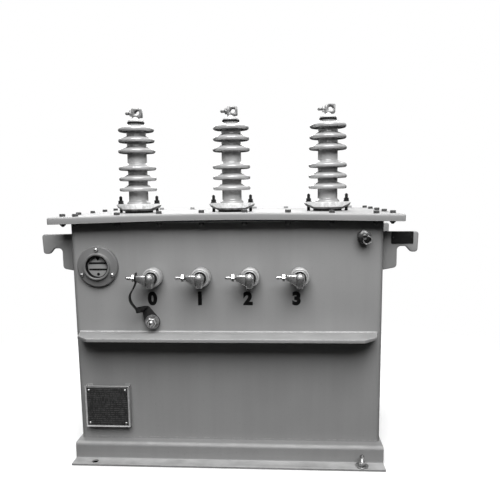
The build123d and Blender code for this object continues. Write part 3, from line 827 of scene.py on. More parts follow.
class Shaper:
    """A mesh under the maker's hands, shaped in edit mode and finished with modifiers."""

    def __init__(self, obj: bpy.types.Object) -> None:
        """Takes the object that holds the mesh."""
        self.obj = obj

    @contextmanager
    def editing(self) -> Iterator[None]:
        """Opens the mesh in edit mode with every corner selected.

        Yields:
            Nothing, while the mesh is open.
        """
        alone(self.obj)
        bpy.ops.object.mode_set(mode="EDIT")
        bpy.ops.mesh.select_mode(type="VERT")
        bpy.ops.mesh.select_all(action="SELECT")
        yield
        bpy.ops.object.mode_set(mode="OBJECT")

    @classmethod
    def turned(cls, profile: Profile, sides: int = TURN_SIDES, ring: bool = False) -> "Shaper":
        """Extrudes a circle up the +Z axis, ring by ring, as on a lathe.

        Args:
            profile: Radius and height of each ring, in millimetres.
            sides: Corners of the circle.
            ring: True if the profile closes on itself round a hole.

        Returns:
            The turned piece, with its axis on the origin.
        """
        (radius, height), *rings = profile
        bpy.ops.object.select_all(action="DESELECT")
        bpy.ops.mesh.primitive_circle_add(
            vertices=sides,
            radius=radius * MM,
            fill_type="NOTHING" if ring else "NGON",
            location=(0, 0, height * MM),
        )
        bpy.ops.object.transform_apply()
        piece = cls(bpy.context.active_object)
        with piece.editing():
            for wide, high in rings:
                rise = (0, 0, (high - height) * MM)
                bpy.ops.mesh.extrude_region_move(TRANSFORM_OT_translate={"value": rise})
                factor = wide / radius
                centre = (0, 0, high * MM)
                bpy.ops.transform.resize(value=(factor, factor, 1), center_override=centre)
                radius, height = wide, high
            bpy.ops.mesh.select_all(action="SELECT")
            bpy.ops.mesh.remove_doubles(threshold=MERGE_DISTANCE)
            bpy.ops.mesh.normals_make_consistent(inside=False)
        return piece

    @classmethod
    def pin(cls, radius: float, low: float, high: float, sides: int) -> "Shaper":
        """Makes a plain round bar along +Z, in millimetres."""
        return cls.turned([(radius, low), (radius, high)], sides)

    @classmethod
    def prism(cls, across: float, low: float, high: float, chamfer: float) -> "Shaper":
        """Makes a hexagon bar along +Z with its end edges cut back.

        Args:
            across: Width over the flats, in millimetres.
            low: Lower end, in millimetres.
            high: Upper end, in millimetres.
            chamfer: Width of the end chamfers, in millimetres.

        Returns:
            The prism.
        """
        bpy.ops.object.select_all(action="DESELECT")
        bpy.ops.mesh.primitive_cylinder_add(
            vertices=HEX_SIDES,
            radius=across * HEX_ACROSS_TO_RADIUS * MM,
            depth=(high - low) * MM,
            location=(0, 0, (low + high) / 2 * MM),
        )
        bpy.ops.object.transform_apply()
        piece = cls(bpy.context.active_object)
        piece.bevel_edges(lambda _, along: abs(along.z) < ALONG_AXIS, chamfer)
        return piece

    @classmethod
    def slab(cls, size: Sequence[float], place: Sequence[float]) -> "Shaper":
        """Makes a block.

        Args:
            size: Its size along each axis, in millimetres.
            place: Its middle, in millimetres.

        Returns:
            The block.
        """
        bpy.ops.object.select_all(action="DESELECT")
        bpy.ops.mesh.primitive_cube_add(size=1, location=[value * MM for value in place])
        piece = cls(bpy.context.active_object)
        piece.obj.scale = [value * MM for value in size]
        bpy.ops.object.transform_apply()
        return piece

    @classmethod
    def from_node(cls, node: str) -> "Shaper":
        """Copies a CAD node's mesh and welds its loose triangles into whole faces.

        Args:
            node: The CAD node.

        Returns:
            The copy.
        """
        source = frame["nodes"][node]
        obj = source.copy()
        obj.data = source.data.copy()
        for key in list(obj.keys()):
            del obj[key]
        obj.parent = None
        bpy.context.collection.objects.link(obj)
        piece = cls(obj)
        alone(obj)
        bpy.ops.mesh.customdata_custom_splitnormals_clear()
        with piece.editing():
            bpy.ops.mesh.remove_doubles(threshold=MERGE_DISTANCE)
            bpy.ops.mesh.dissolve_limited(angle_limit=FLAT_ANGLE)
        return piece

    def select_faces(self, test: Test) -> None:
        """Selects, in edit mode, the faces that pass a test.

        Args:
            test: Takes a face's middle and its normal.
        """
        bpy.ops.mesh.select_mode(type="FACE")
        bpy.ops.mesh.select_all(action="DESELECT")
        mesh = bmesh.from_edit_mesh(self.obj.data)
        for face in mesh.faces:
            face.select_set(test(face.calc_center_median(), face.normal))
        bmesh.update_edit_mesh(self.obj.data)

    def bevel_edges(self, test: Test, width: float, segments: int = 1) -> "Shaper":
        """Bevels the edges whose middle and direction pass a test.

        Args:
            test: Takes an edge's middle and its direction.
            width: Width of the bevel, in millimetres.
            segments: Steps of the bevel.

        Returns:
            The same piece.
        """
        with self.editing():
            bpy.ops.mesh.select_mode(type="EDGE")
            bpy.ops.mesh.select_all(action="DESELECT")
            mesh = bmesh.from_edit_mesh(self.obj.data)
            for edge in mesh.edges:
                first, second = (corner.co for corner in edge.verts)
                edge.select_set(test((first + second) / 2, (second - first).normalized()))
            bmesh.update_edit_mesh(self.obj.data)
            bpy.ops.mesh.bevel(offset=width * MM, segments=segments, affect="EDGES")
        return self

    def inset(self, test: Test, border: float, rise: float) -> "Shaper":
        """Insets the faces that pass a test and moves them along their normal.

        Args:
            test: Takes a face's middle and its normal.
            border: Width of the inset, in millimetres.
            rise: How far the faces move out, in millimetres.

        Returns:
            The same piece.
        """
        with self.editing():
            self.select_faces(test)
            bpy.ops.mesh.inset(thickness=border * MM, depth=rise * MM)
        return self

    def taper(self, test: Test, share: Sequence[float], centre: Sequence[float]) -> "Shaper":
        """Scales the faces that pass a test.

        Args:
            test: Takes a face's middle and its normal.
            share: The scale along each axis.
            centre: The place that stays, in millimetres.

        Returns:
            The same piece.
        """
        with self.editing():
            self.select_faces(test)
            bpy.ops.transform.resize(value=share, center_override=[value * MM for value in centre])
        return self

    def slices(self, axis: int, places: Iterable[float]) -> "Shaper":
        """Splits the mesh across an axis.

        Args:
            axis: The axis, 0 to 2.
            places: Where it is split, in millimetres.

        Returns:
            The same piece.
        """
        ahead = Vector((0, 0, 0))
        ahead[axis] = 1
        with self.editing():
            for place in places:
                bpy.ops.mesh.select_all(action="SELECT")
                bpy.ops.mesh.bisect(plane_co=ahead * place * MM, plane_no=ahead)
        return self

    def bend(self, shift: Callable[[Vector], Vector]) -> "Shaper":
        """Moves each corner by a shift that depends on its place.

        Args:
            shift: Takes the place and returns the shift, both in millimetres.

        Returns:
            The same piece.
        """
        for corner in self.obj.data.vertices:
            corner.co += shift(corner.co / MM) * MM
        return self

    def cut(self, tool: "Shaper") -> "Shaper":
        """Cuts another piece out of this one and removes the cutter.

        Args:
            tool: The cutter.

        Returns:
            The same piece.
        """
        self.modify("BOOLEAN", operation="DIFFERENCE", object=tool.obj, solver="EXACT")
        self.clear(tool)
        return self

    def modify(self, kind: str, **settings: Any) -> "Shaper":
        """Adds a modifier and applies it.

        Args:
            kind: The modifier's type.
            settings: Its settings by name.

        Returns:
            The same piece.
        """
        alone(self.obj)
        made = self.obj.modifiers.new(kind.lower(), kind)
        for name, value in settings.items():
            setattr(made, name, value)
        bpy.ops.object.modifier_apply(modifier=made.name)
        return self

    def soften(self, width: float, segments: int = 2) -> "Shaper":
        """Rounds every sharp edge.

        Args:
            width: Width of the rounding, in millimetres.
            segments: Steps of the rounding.

        Returns:
            The same piece.
        """
        return self.modify(
            "BEVEL",
            width=width * MM,
            segments=segments,
            limit_method="ANGLE",
            angle_limit=BEVEL_ANGLE,
            use_clamp_overlap=True,
        )

    def put(self, matrix: Matrix) -> "Shaper":
        """Moves the mesh itself; the object stays at the origin."""
        self.obj.data.transform(matrix)
        return self

    def twin(self) -> "Shaper":
        """Copies the piece with a mesh of its own.

        Returns:
            The copy.
        """
        obj = self.obj.copy()
        obj.data = self.obj.data.copy()
        bpy.context.collection.objects.link(obj)
        return Shaper(obj)

    def join(self, *others: "Shaper") -> "Shaper":
        """Takes other pieces into this one's mesh.

        Args:
            others: The other pieces, which are gone afterwards.

        Returns:
            The same piece.
        """
        alone(self.obj)
        for other in others:
            other.obj.select_set(True)
        bpy.ops.object.join()
        return self

    def row(self, places: Iterable[Matrix]) -> "Shaper":
        """Repeats the piece at each place and joins the copies.

        Args:
            places: Where the copies go.

        Returns:
            The joined copies; the piece itself is gone.
        """
        copies = [self.twin().put(place) for place in places]
        self.clear(self)
        return self.joined(copies)

    @staticmethod
    def joined(pieces: Sequence["Shaper"]) -> "Shaper":
        """Joins pieces into the first of them."""
        return pieces[0].join(*pieces[1:])

    @staticmethod
    def clear(*patterns: "Shaper") -> None:
        """Removes pieces that were only patterns for their copies."""
        for pattern in patterns:
            bpy.data.objects.remove(pattern.obj)

    def finish(self, name: str, finish: Finish, replaces: Sequence[str] = ()) -> None:
        """Smooths, names, paints and fixes the piece to the part.

        Args:
            name: The piece's name.
            finish: Its surface finish.
            replaces: CAD nodes that it stands for.
        """
        alone(self.obj)
        bpy.ops.object.shade_smooth_by_angle(angle=SMOOTH_ANGLE)
        self.obj.name = name
        self.obj.data.name = name
        self.obj.data.materials.clear()
        self.obj.data.materials.append(finish.material())
        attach(self.obj, BODY)
        if replaces:
            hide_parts(*replaces)
        LOG.info("built %s: %d faces", name, len(self.obj.data.polygons))


def dress(node: str, finish: Finish) -> None:
    """Gives a finish to a CAD node that is kept as it is.

    Args:
        node: The CAD node.
        finish: Its finish.
    """
    for holder in frame["nodes"][node].material_slots:
        holder.material = finish.material()
    LOG.info("dressed %s", node)


def soften_node(node: str, finish: Finish, width: float, segments: int = 2) -> None:
    """Stands a copy with rounded edges in for a CAD node."""
    Shaper.from_node(node).soften(width, segments).finish(f"{node}_formed", finish, [node])


@dataclass(frozen=True)
class Fastener:
    """A screw thread's hardware, in millimetres."""

    thread: float
    across: float
    height: float
    washer: float
    washer_thickness: float = 2.2
    washer_rounding: float = 0.35
    chamfer: float = 0.9
    pitch: float = 1.9
    thread_depth: float = 0.9
    tip: float = 0.6

    def hexagon(self, low: float) -> Shaper:
        """Makes a nut or bolt head that starts at a height."""
        return Shaper.prism(self.across, low, low + self.height, self.chamfer)

    def disc(self, low: float) -> Shaper:
        """Makes a round washer with a hole.

        Args:
            low: Its lower face.

        Returns:
            The washer.
        """
        inner, outer = self.thread / 2, self.washer / 2
        high = low + self.washer_thickness
        profile = [(inner, low), (outer, low), (outer, high), (inner, high), (inner, low)]
        ring = Shaper.turned(profile, SMALL_SIDES, ring=True)
        return ring.soften(self.washer_rounding, segments=1)

    def rod(self, low: float, high: float, point: float) -> Shaper:
        """Makes a threaded rod with a pointed end.

        Args:
            low: Lower end.
            high: Tip.
            point: Length of the cone at the tip.

        Returns:
            The rod.
        """
        outer = self.thread / 2
        root = outer - self.thread_depth
        shank = high - point - low
        turns = max(1, int(shank / self.pitch))
        step = shank / turns
        profile = [(root, low)]
        for turn in range(turns):
            profile += [(outer, low + (turn + 0.5) * step), (root, low + (turn + 1) * step)]
        profile.append((max(self.tip, root - point), high))
        return Shaper.turned(profile, SMALL_SIDES)


M10 = Fastener(10, 16, 7, 22)
M14 = Fastener(14, 24, 12, 39, washer_thickness=2.6, chamfer=2.2)
M12 = Fastener(12, 18, 9, 34, washer_thickness=3, chamfer=1.6)
LID_BOLT = Fastener(10, 13.5, 6, 16, washer_thickness=1.4)
CLAMP_STUD = Fastener(10, 14, 8, 18)


@dataclass(frozen=True)
class Lamp:
    """A soft lamp, in metres and watts."""

    name: str
    place: tuple[float, float, float]
    target: tuple[float, float, float]
    size: tuple[float, float]
    watts: float

    def build(self) -> None:
        """Hangs the lamp and points it at its target."""
        light = bpy.data.lights.new(self.name, "AREA")
        light.shape = "RECTANGLE"
        light.size, light.size_y = self.size
        light.energy = self.watts
        lamp = bpy.data.objects.new(self.name, light)
        aim = Vector(self.target) - Vector(self.place)
        turn = aim.to_track_quat("-Z", "Y").to_matrix().to_4x4()
        lamp.matrix_world = Matrix.Translation(self.place) @ turn
        bpy.context.collection.objects.link(lamp)


@dataclass
class Studio:
    """Floor, light and camera, in metres and degrees."""

    camera_place: tuple[float, float, float] = (0.147, -1.6747, 0.720)
    yaw: float = 4.02
    pitch: float = 8.21
    roll: float = -0.8
    focal_share: float = 551.4 / 500
    shift: tuple[float, float] = (0.0146, 0.0428)
    sensor: float = 36.0
    floor_size: float = 12.0
    floor_cells: int = 4
    floor_seen: float = 0.82
    floor_lift: float = 0.22
    floor_bounce: float = 0.05
    floor_cloud: float = 0.98
    floor_fade: tuple[float, float] = (0.75, 1.5)
    foot_shade: tuple[float, float] = (-12 * MM, -3 * MM)
    ambient: float = 0.015
    sky: float = 0.55
    ground: float = 0.02
    horizon: float = 0.12
    lamps: tuple[Lamp, ...] = (
        Lamp("key_lamp", (0.3, -2.1, 2.68), (0.0, -0.2, 0.5), size=(2.6, 2.15), watts=144),
        Lamp("top_lamp", (0.0, 1.3, 2.8), (0.0, 0.1, 0.75), size=(2.8, 2.6), watts=62),
        Lamp("rear_lamp", (-0.6, 2.6, 2.2), (0.0, 0.2, 0.5), size=(2.4, 1.8), watts=50),
    )

    def build(self) -> None:
        """Sets up the whole studio."""
        scene = bpy.context.scene
        scene.view_settings.view_transform = "Standard"
        self.build_camera(scene)
        self.build_floor()
        self.build_world(scene)
        for lamp in self.lamps:
            lamp.build()
        LOG.info("studio ready")

    def build_camera(self, scene: bpy.types.Scene) -> None:
        """Places the camera at the photograph's viewing angle.

        Args:
            scene: The scene that it films.
        """
        yaw, pitch, roll = (math.radians(value) for value in (self.yaw, self.pitch, self.roll))
        level = math.cos(pitch)
        ahead = Vector((-math.sin(yaw) * level, math.cos(yaw) * level, -math.sin(pitch)))
        right = ahead.cross(Vector((0, 0, 1))).normalized()
        up = right.cross(ahead)
        right, up = (
            right * math.cos(roll) + up * math.sin(roll),
            up * math.cos(roll) - right * math.sin(roll),
        )
        lens = bpy.data.cameras.new("camera")
        lens.sensor_width = self.sensor
        lens.lens = self.focal_share * self.sensor
        lens.shift_x, lens.shift_y = self.shift
        camera = bpy.data.objects.new("camera", lens)
        turn = Matrix((right, up, -ahead)).transposed().to_4x4()
        camera.matrix_world = Matrix.Translation(self.camera_place) @ turn
        bpy.context.collection.objects.link(camera)
        scene.camera = camera

    def build_floor(self) -> None:
        """Lays a pale floor with the object's shadow, darkened under the foot as painted shadow,
        which fades into the white backdrop.
        """
        bpy.ops.object.select_all(action="DESELECT")
        bpy.ops.mesh.primitive_grid_add(
            x_subdivisions=self.floor_cells,
            y_subdivisions=self.floor_cells,
            size=self.floor_size,
        )
        floor = bpy.context.active_object
        floor.name = "floor"
        paper = bpy.data.materials.new("floor_paper")
        paper.use_nodes = True
        sheet = Sheet(paper.node_tree)
        shader = paper.node_tree.nodes["Principled BSDF"]
        seen = sheet.node("LightPath").outputs["Is Camera Ray"]
        # The floor within the foot is painted dark, as painted shadow that shows through the holes.
        foot_low, foot_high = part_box("base_front_rail")
        past = []
        for axis, half in (("X", foot_high.x), ("Y", -foot_low.y)):
            away = sheet.maths("ABSOLUTE", sheet.coordinate(axis))
            past.append(sheet.maths("SUBTRACT", away, half))
        clear_of_painted_shadow = sheet.span(sheet.maths("MAXIMUM", *past), *self.foot_shade)
        cloud = sheet.patches(scale=0.8, detail=2, ends=(self.floor_cloud, 1.0))
        bright = sheet.span(seen, 0.0, 1.0, self.floor_bounce, self.floor_seen)
        level = sheet.times(sheet.times(bright, cloud), clear_of_painted_shadow)
        sheet.feed(shader.inputs["Base Color"], level)
        lift = sheet.times(sheet.times(seen, self.floor_lift), clear_of_painted_shadow)
        sheet.feed(shader.inputs["Emission Color"], lift)
        shader.inputs["Emission Strength"].default_value = 1.0
        far = sheet.vector("LENGTH", sheet.place())
        sheet.feed(shader.inputs["Alpha"], sheet.span(far, *self.floor_fade, 1.0, 0.0))
        shader.inputs["Roughness"].default_value = 1.0
        shader.inputs["Specular IOR Level"].default_value = 0.0
        floor.data.materials.append(paper)

    def build_world(self, scene: bpy.types.Scene) -> None:
        """Makes a dim world, white to the camera, with a pale sky for mirrors.

        Args:
            scene: The scene that it lights.
        """
        world = bpy.data.worlds.new("studio")
        scene.world = world
        world.use_nodes = True
        sheet = Sheet(world.node_tree)
        path = sheet.node("LightPath").outputs
        seen = sheet.maths("MAXIMUM", path["Is Camera Ray"], path["Is Transmission Ray"])
        level = sheet.span(seen, 0.0, 1.0, self.ambient, 1.0)
        sky = sheet.span(sheet.coordinate("Z"), 0.0, self.horizon, self.ground, self.sky)
        mirrored = sheet.times(path["Is Glossy Ray"], sky)
        back = world.node_tree.nodes["Background"]
        back.inputs["Color"].default_value = tint(1.0)
        sheet.feed(back.inputs["Strength"], sheet.maths("MAXIMUM", level, mirrored))


@dataclass
class Weld:
    """A rippled weld bead, in millimetres."""

    radius: float = 3.0
    ripple: float = 3.6
    crest_share: float = 0.6
    waist_share: float = 0.84
    sides: int = 8

    def bead(self, start: Vector, end: Vector) -> Shaper:
        """Runs a bead between two points: one ripple, repeated by an array.

        Args:
            start: First end, in metres.
            end: Last end, in metres.

        Returns:
            The bead.
        """
        run = end - start
        count = max(2, round(run.length / (self.ripple * MM)))
        step = run.length / count
        waist = self.radius * self.waist_share
        length = step / MM
        profile = [(waist, 0), (self.radius, length * self.crest_share), (waist, length)]
        piece = Shaper.turned(profile, self.sides, ring=True)
        piece.modify(
            "ARRAY",
            count=count,
            use_relative_offset=False,
            use_constant_offset=True,
            constant_offset_displace=(0, 0, step),
            use_merge_vertices=True,
            merge_threshold=MERGE_DISTANCE,
        )
        with piece.editing():
            bpy.ops.mesh.fill_holes(sides=0)
            bpy.ops.mesh.normals_make_consistent(inside=False)
        turn = run.to_track_quat("Z", "Y").to_matrix().to_4x4()
        return piece.put(Matrix.Translation(start) @ turn)


@dataclass
class Tank:
    """Welded tank: shells, rails, stiffeners, lugs and hangers, with their welds."""

    rail_rounding: float = 1.6
    rib_rounding: float = 1.2
    lug_rounding: float = 3.0
    hanger_rounding: float = 0.9
    small_bead: float = 2.4
    lug_plate_size: tuple[float, float, float] = (57, 1.6, 32.5)
    lug_plate_inset: float = 26
    lug_plate_corner: float = 2.5
    lug_plate_rounding: float = 0.4
    lug_rivet: Profile = ((2.4, 0), (2.4, 0.5), (1.8, 1.3), (0.9, 1.7))
    lug_rivet_inset: float = 4.5
    lip: float = 5
    anchor_low: float = 0.5
    anchor_high: float = 37
    anchor_point: float = 3

    def build(self) -> None:
        """Builds and dresses the tank."""
        for node in ("tank_front_shell", "tank_rear_shell", "tank_floor"):
            dress(node, TANK_PAINT)
        dress("tank_flange", FLANGE_SHADE_PAINT)
        for end in ENDS:
            soften_node(f"base_{end}_rail", RAIL_PAINT, self.rail_rounding, segments=3)
            soften_node(f"{end}_stiffener", RIB_PAINT, self.rib_rounding)
            for hand in HANDS:
                soften_node(f"{end}_{hand}_lug", TANK_PAINT, self.lug_rounding, segments=4)
        for level in LEVELS:
            soften_node(f"{level}_hanger_bracket", TANK_PAINT, self.hanger_rounding)
        self.build_welds()
        self.build_lug_plate()
        self.build_anchor()

    def build_welds(self) -> None:
        """Runs the beads along the stiffeners, seams, lugs and hangers."""
        weld = Weld()
        low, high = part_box("tank_front_shell")[0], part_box("tank_rear_shell")[1]
        ribs = []
        for end, wall in zip(ENDS, (low.y, high.y)):
            bottom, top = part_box(f"{end}_stiffener")
            for z in (bottom.z, top.z):
                ribs.append(weld.bead(Vector((bottom.x, wall, z)), Vector((top.x, wall, z))))
        Shaper.joined(ribs).finish("stiffener_welds", RIB_PAINT)
        seams = [
            weld.bead(Vector((x, 0, low.z)), Vector((x, 0, high.z))) for x in (low.x, high.x)
        ]
        Shaper.joined(seams).finish("tank_seam_welds", TANK_PAINT)
        small = Weld(radius=self.small_bead)
        marks = []
        for end in ENDS:
            for hand, wall in zip(HANDS, (low.x, high.x)):
                bottom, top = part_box(f"{end}_{hand}_lug")
                for y in (bottom.y, top.y):
                    marks.append(small.bead(Vector((wall, y, bottom.z)), Vector((wall, y, top.z))))
        for level in LEVELS:
            bottom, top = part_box(f"{level}_hanger_bracket")
            for x in (bottom.x, top.x):
                marks.append(small.bead(Vector((x, high.y, bottom.z)), Vector((x, high.y, top.z))))
        Shaper.joined(marks).finish("bracket_welds", TANK_PAINT)

    def build_lug_plate(self) -> None:
        """Rivets a plain dark plate to the right front lug."""
        low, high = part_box("front_right_lug")
        width, thick, tall = self.lug_plate_size
        left = low.x / MM + self.lug_plate_inset
        middle = Vector((left + width / 2, low.y / MM - thick / 2, high.z / MM - tall / 2))
        plate = Shaper.slab(self.lug_plate_size, middle)
        plate.bevel_edges(along_y, self.lug_plate_corner, segments=3)
        plate.soften(self.lug_plate_rounding, segments=1).finish("lug_plate", LUG_LACQUER)
        reach = width / 2 - self.lug_rivet_inset
        front = Vector((middle.x, low.y / MM - thick, middle.z))
        places = [
            Matrix.Translation((front + Vector((side * reach, 0, 0))) * MM) @ OUT_OF_FRONT
            for side in BOTH_WAYS
        ]
        head = Shaper.turned(self.lug_rivet, SMALL_SIDES)
        head.row(places).finish("lug_plate_rivets", DARK_STEEL)

    def build_anchor(self) -> None:
        """Stands the hold-down stud with its nut in the right hole of the front lip."""
        mounts = frame["record"]["mounts"]
        dims = next(mount["dims"] for mount in mounts if mount["name"] == "hold_down_holes")
        hole = Vector((dims["spacing_x_mm"] / 2, -dims["spacing_y_mm"] / 2, 0))
        stud = M12.rod(self.anchor_low, self.anchor_high, self.anchor_point)
        stud.join(M12.disc(self.lip), M12.hexagon(self.lip + M12.washer_thickness))
        stud.put(Matrix.Translation(hole * MM)).finish("anchor_stud", BOLT_STEEL)


@dataclass
class Lid:
    """The lid with its gasket and its ring of bolts, in millimetres."""

    bolt_inset: float = 22
    bolt_turn: float = 0.7
    long_places: tuple[float, ...] = (-385, -275, -165, -55, 55, 165, 275, 385)
    short_places: tuple[float, ...] = (-240, -120, 0, 120, 240)
    shank_below: float = 21
    shank_point: float = 1.5
    rounding: float = 1.4
    bow: float = 7.5
    bow_power: float = 1.5
    bow_start: float = -110
    bow_slices: int = 18
    bow_rows: tuple[float, ...] = (0.0, 0.25, 0.5, 0.75)

    def lift(self, place: Vector, corner: Vector) -> Vector:
        """Returns how far the bowed front edge lifts a place on the lid.

        Args:
            place: The place, in millimetres.
            corner: The lid's front right corner, in millimetres.

        Returns:
            The shift, in millimetres.
        """
        along = max(0.0, 1 - (place.x / corner.x) ** 2) ** self.bow_power
        out = (self.bow_start - place.y) / (self.bow_start - corner.y)
        out = min(1.0, max(0.0, out))
        return Vector((0, 0, self.bow * along * out * (2 - out)))

    def build_cover(self, corner: Vector) -> None:
        """Stands a lid in whose front edge bows up a little between its corners.

        Args:
            corner: The lid's front right corner, in millimetres.
        """
        cover = Shaper.from_node("lid").soften(self.rounding, segments=3)
        steps = range(1, self.bow_slices)
        cover.slices(0, [corner.x * (2 * step / self.bow_slices - 1) for step in steps])
        depth = corner.y - self.bow_start
        cover.slices(1, [self.bow_start + depth * share for share in self.bow_rows])
        cover.bend(lambda place: self.lift(place, corner))
        cover.finish("lid_formed", LID_PAINT, ["lid"])

    def build(self) -> None:
        """Builds and dresses the lid."""
        low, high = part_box("lid")
        corner = Vector((high.x, low.y, 0)) / MM
        self.build_cover(corner)
        dress("lid_gasket", GASKET_RUBBER)
        top = high.z / MM
        flange_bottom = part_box("tank_flange")[0].z / MM
        nut_low = flange_bottom - LID_BOLT.washer_thickness - LID_BOLT.height
        head = LID_BOLT.hexagon(top + LID_BOLT.washer_thickness).join(LID_BOLT.disc(top))
        shank_end = top - self.shank_below - LID_BOLT.height
        tail = LID_BOLT.rod(-top, -shank_end, self.shank_point).put(UPSIDE_DOWN)
        tail.join(LID_BOLT.hexagon(nut_low), LID_BOLT.disc(nut_low + LID_BOLT.height))
        reach_x = high.x / MM - self.bolt_inset
        reach_y = high.y / MM - self.bolt_inset
        rows = {
            Side.FRONT: [(x, -reach_y) for x in self.long_places],
            Side.REAR: [(x, reach_y) for x in self.long_places],
            Side.LEFT: [(-reach_x, y) for y in self.short_places],
            Side.RIGHT: [(reach_x, y) for y in self.short_places],
        }
        for side, spots in rows.items():
            below, above = [], []
            for index, (x, y) in enumerate(spots):
                turn = Matrix.Rotation(index * self.bolt_turn, 4, "Z")
                below.append(Matrix.Translation((x * MM, y * MM, 0)) @ turn)
                lift = self.lift(Vector((x, y, 0)), corner)
                above.append(Matrix.Translation(lift * MM) @ below[-1])
            bolts = head.twin().row(above).join(tail.twin().row(below))
            paint = LID_PAINT if side is Side.REAR else BOLT_PAINT
            bolts.finish(f"lid_bolts_{side.value}", paint)
        Shaper.clear(head, tail)


@dataclass
class HighVoltageBushings:
    """Three shedded porcelains on the lid with clamps, studs and eye terminals, in millimetres."""

    names: tuple[str, ...] = ("left", "middle", "right")
    spigot: float = 26
    spigot_depth: float = 80
    gasket: float = 6
    foot: float = 39
    foot_top: float = 17
    collar: float = 35
    collar_top: float = 30
    collar_slope: float = 6
    stem: float = 29
    sheds: tuple[tuple[float, float], ...] = (
        (56, 71),
        (56, 102.5),
        (56, 134),
        (55.5, 184.5),
        (54, 216),
        (53.5, 247.5),
    )
    shed_form: Profile = (
        (-9, -6.6), (-3, -6.2), (-0.4, -3.6), (0, 0.4), (-1.2, 3.6), (-4.4, 6), (-13, 8.8),
    )
    shed_root: tuple[float, float] = (-6, 13.2)
    shed_rounding: float = 1.8
    head: float = 27
    head_top: float = 262.5
    stud_reach: float = 56
    stud_high: float = 51
    stud_point: float = 2.5
    clamp_top: float = 27
    clamp_bore: float = 38
    clamp_ear: float = 12.6
    clamp_cut: float = 6
    clamp_rounding: float = 1.0
    cap_form: Profile = (
        (8, 0), (8, 7), (23, 7), (23, 12), (20.5, 14), (13, 14.6), (11.5, 17), (11, 22),
    )
    cap_rounding: float = 0.8
    eye_size: tuple[float, float, float] = (30, 22, 26)
    eye_shift: float = 5
    eye_rise: float = 33
    eye_corner: float = 3.5
    eye_rounding: float = 1.4
    bore: float = 7
    bore_shift: float = 7
    drill_reach: float = 20
    screw: tuple[float, float] = (4, 31)
    screw_point: float = 2.5
    lock: tuple[float, float] = (10, 17)
    lock_across: float = 17
    lock_chamfer: float = 0.9

    def build(self) -> None:
        """Builds the three bushings and dresses their gaskets."""
        dress("hv_base_gaskets", GASKET_RUBBER)
        dress("hv_cap_gaskets", GASKET_RUBBER)
        body = self.porcelain()
        studs = self.studs()
        cap, eye, screw = self.terminal()
        lid_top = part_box("lid")[1].z
        for name in self.names:
            place = middle_of(f"hv_clamp_{name}")
            spot = Matrix.Translation((place.x, place.y, lid_top))
            porcelain = body.twin().put(spot)
            porcelain.finish(f"hv_porcelain_{name}", PORCELAIN, [f"hv_bushing_{name}"])
            self.clamp(f"hv_clamp_{name}")
            studs.twin().put(spot).finish(f"hv_studs_{name}", DARK_STEEL)
            cap.twin().put(spot).finish(f"hv_cap_{name}", CAP_METAL)
            block = eye.twin().put(spot)
            block.finish(f"hv_eye_clamp_{name}", EYE_METAL, [f"hv_terminal_{name}"])
            screw.twin().put(spot).finish(f"hv_eye_screw_{name}", BOLT_STEEL)
        Shaper.clear(body, studs, cap, eye, screw)

    def clamp(self, node: str) -> None:
        """Stands a clamp whose lower outer edges are cut back in for a CAD clamp.

        Args:
            node: The CAD clamp.
        """
        low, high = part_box(node)
        axis = (low + high) / 2
        stud = self.stud_reach * MM

        def outer(place: Vector, along: Vector) -> bool:
            """Tells the lower outer edges from the folds and the holes.

            Args:
                place: An edge's middle.
                along: Its direction.

            Returns:
                True for a lower outer edge.
            """
            side = abs(place.x - axis.x)
            bored = (place.xy - axis.xy).length < self.clamp_bore * MM
            washer = CLAMP_STUD.washer / 2 * MM
            bored |= math.hypot(side - stud, place.y - axis.y) < washer
            fold = abs(along.y) > ALONG_AXIS and side < stud
            below = place.z < low.z + self.clamp_ear * MM and abs(along.z) < ALONG_AXIS
            return below and not bored and not fold

        piece = Shaper.from_node(node).bevel_edges(outer, self.clamp_cut)
        piece.soften(self.clamp_rounding).finish(f"{node}_formed", CLAMP_METAL, [node])

    def porcelain(self) -> Shaper:
        """Turns one porcelain: spigot, foot, collar and two groups of thick-rimmed sheds.

        Returns:
            The porcelain.
        """
        profile = [
            (self.spigot, -self.spigot_depth),
            (self.spigot, self.gasket),
            (self.foot, self.gasket),
            (self.foot, self.foot_top),
            (self.collar, self.foot_top),
            (self.collar, self.collar_top),
            (self.stem, self.collar_top + self.collar_slope),
        ]
        for shed, tip in self.sheds:
            profile.append((self.stem, tip + self.shed_root[0]))
            profile += [(shed + out, tip + up) for out, up in self.shed_form]
            profile.append((self.stem, tip + self.shed_root[1]))
        profile[-1] = (self.head, self.head_top)
        return Shaper.turned(profile).soften(self.shed_rounding, segments=3)

    def studs(self) -> Shaper:
        """Makes the two clamp studs of one bushing, with nuts and washers.

        Returns:
            The studs.
        """
        rod = CLAMP_STUD.rod(0, self.stud_high, self.stud_point)
        nut_low = self.clamp_top + CLAMP_STUD.washer_thickness
        rod.join(CLAMP_STUD.disc(self.clamp_top), CLAMP_STUD.hexagon(nut_low))
        reach = self.stud_reach * MM
        return rod.row(Matrix.Translation((side * reach, 0, 0)) for side in BOTH_WAYS)

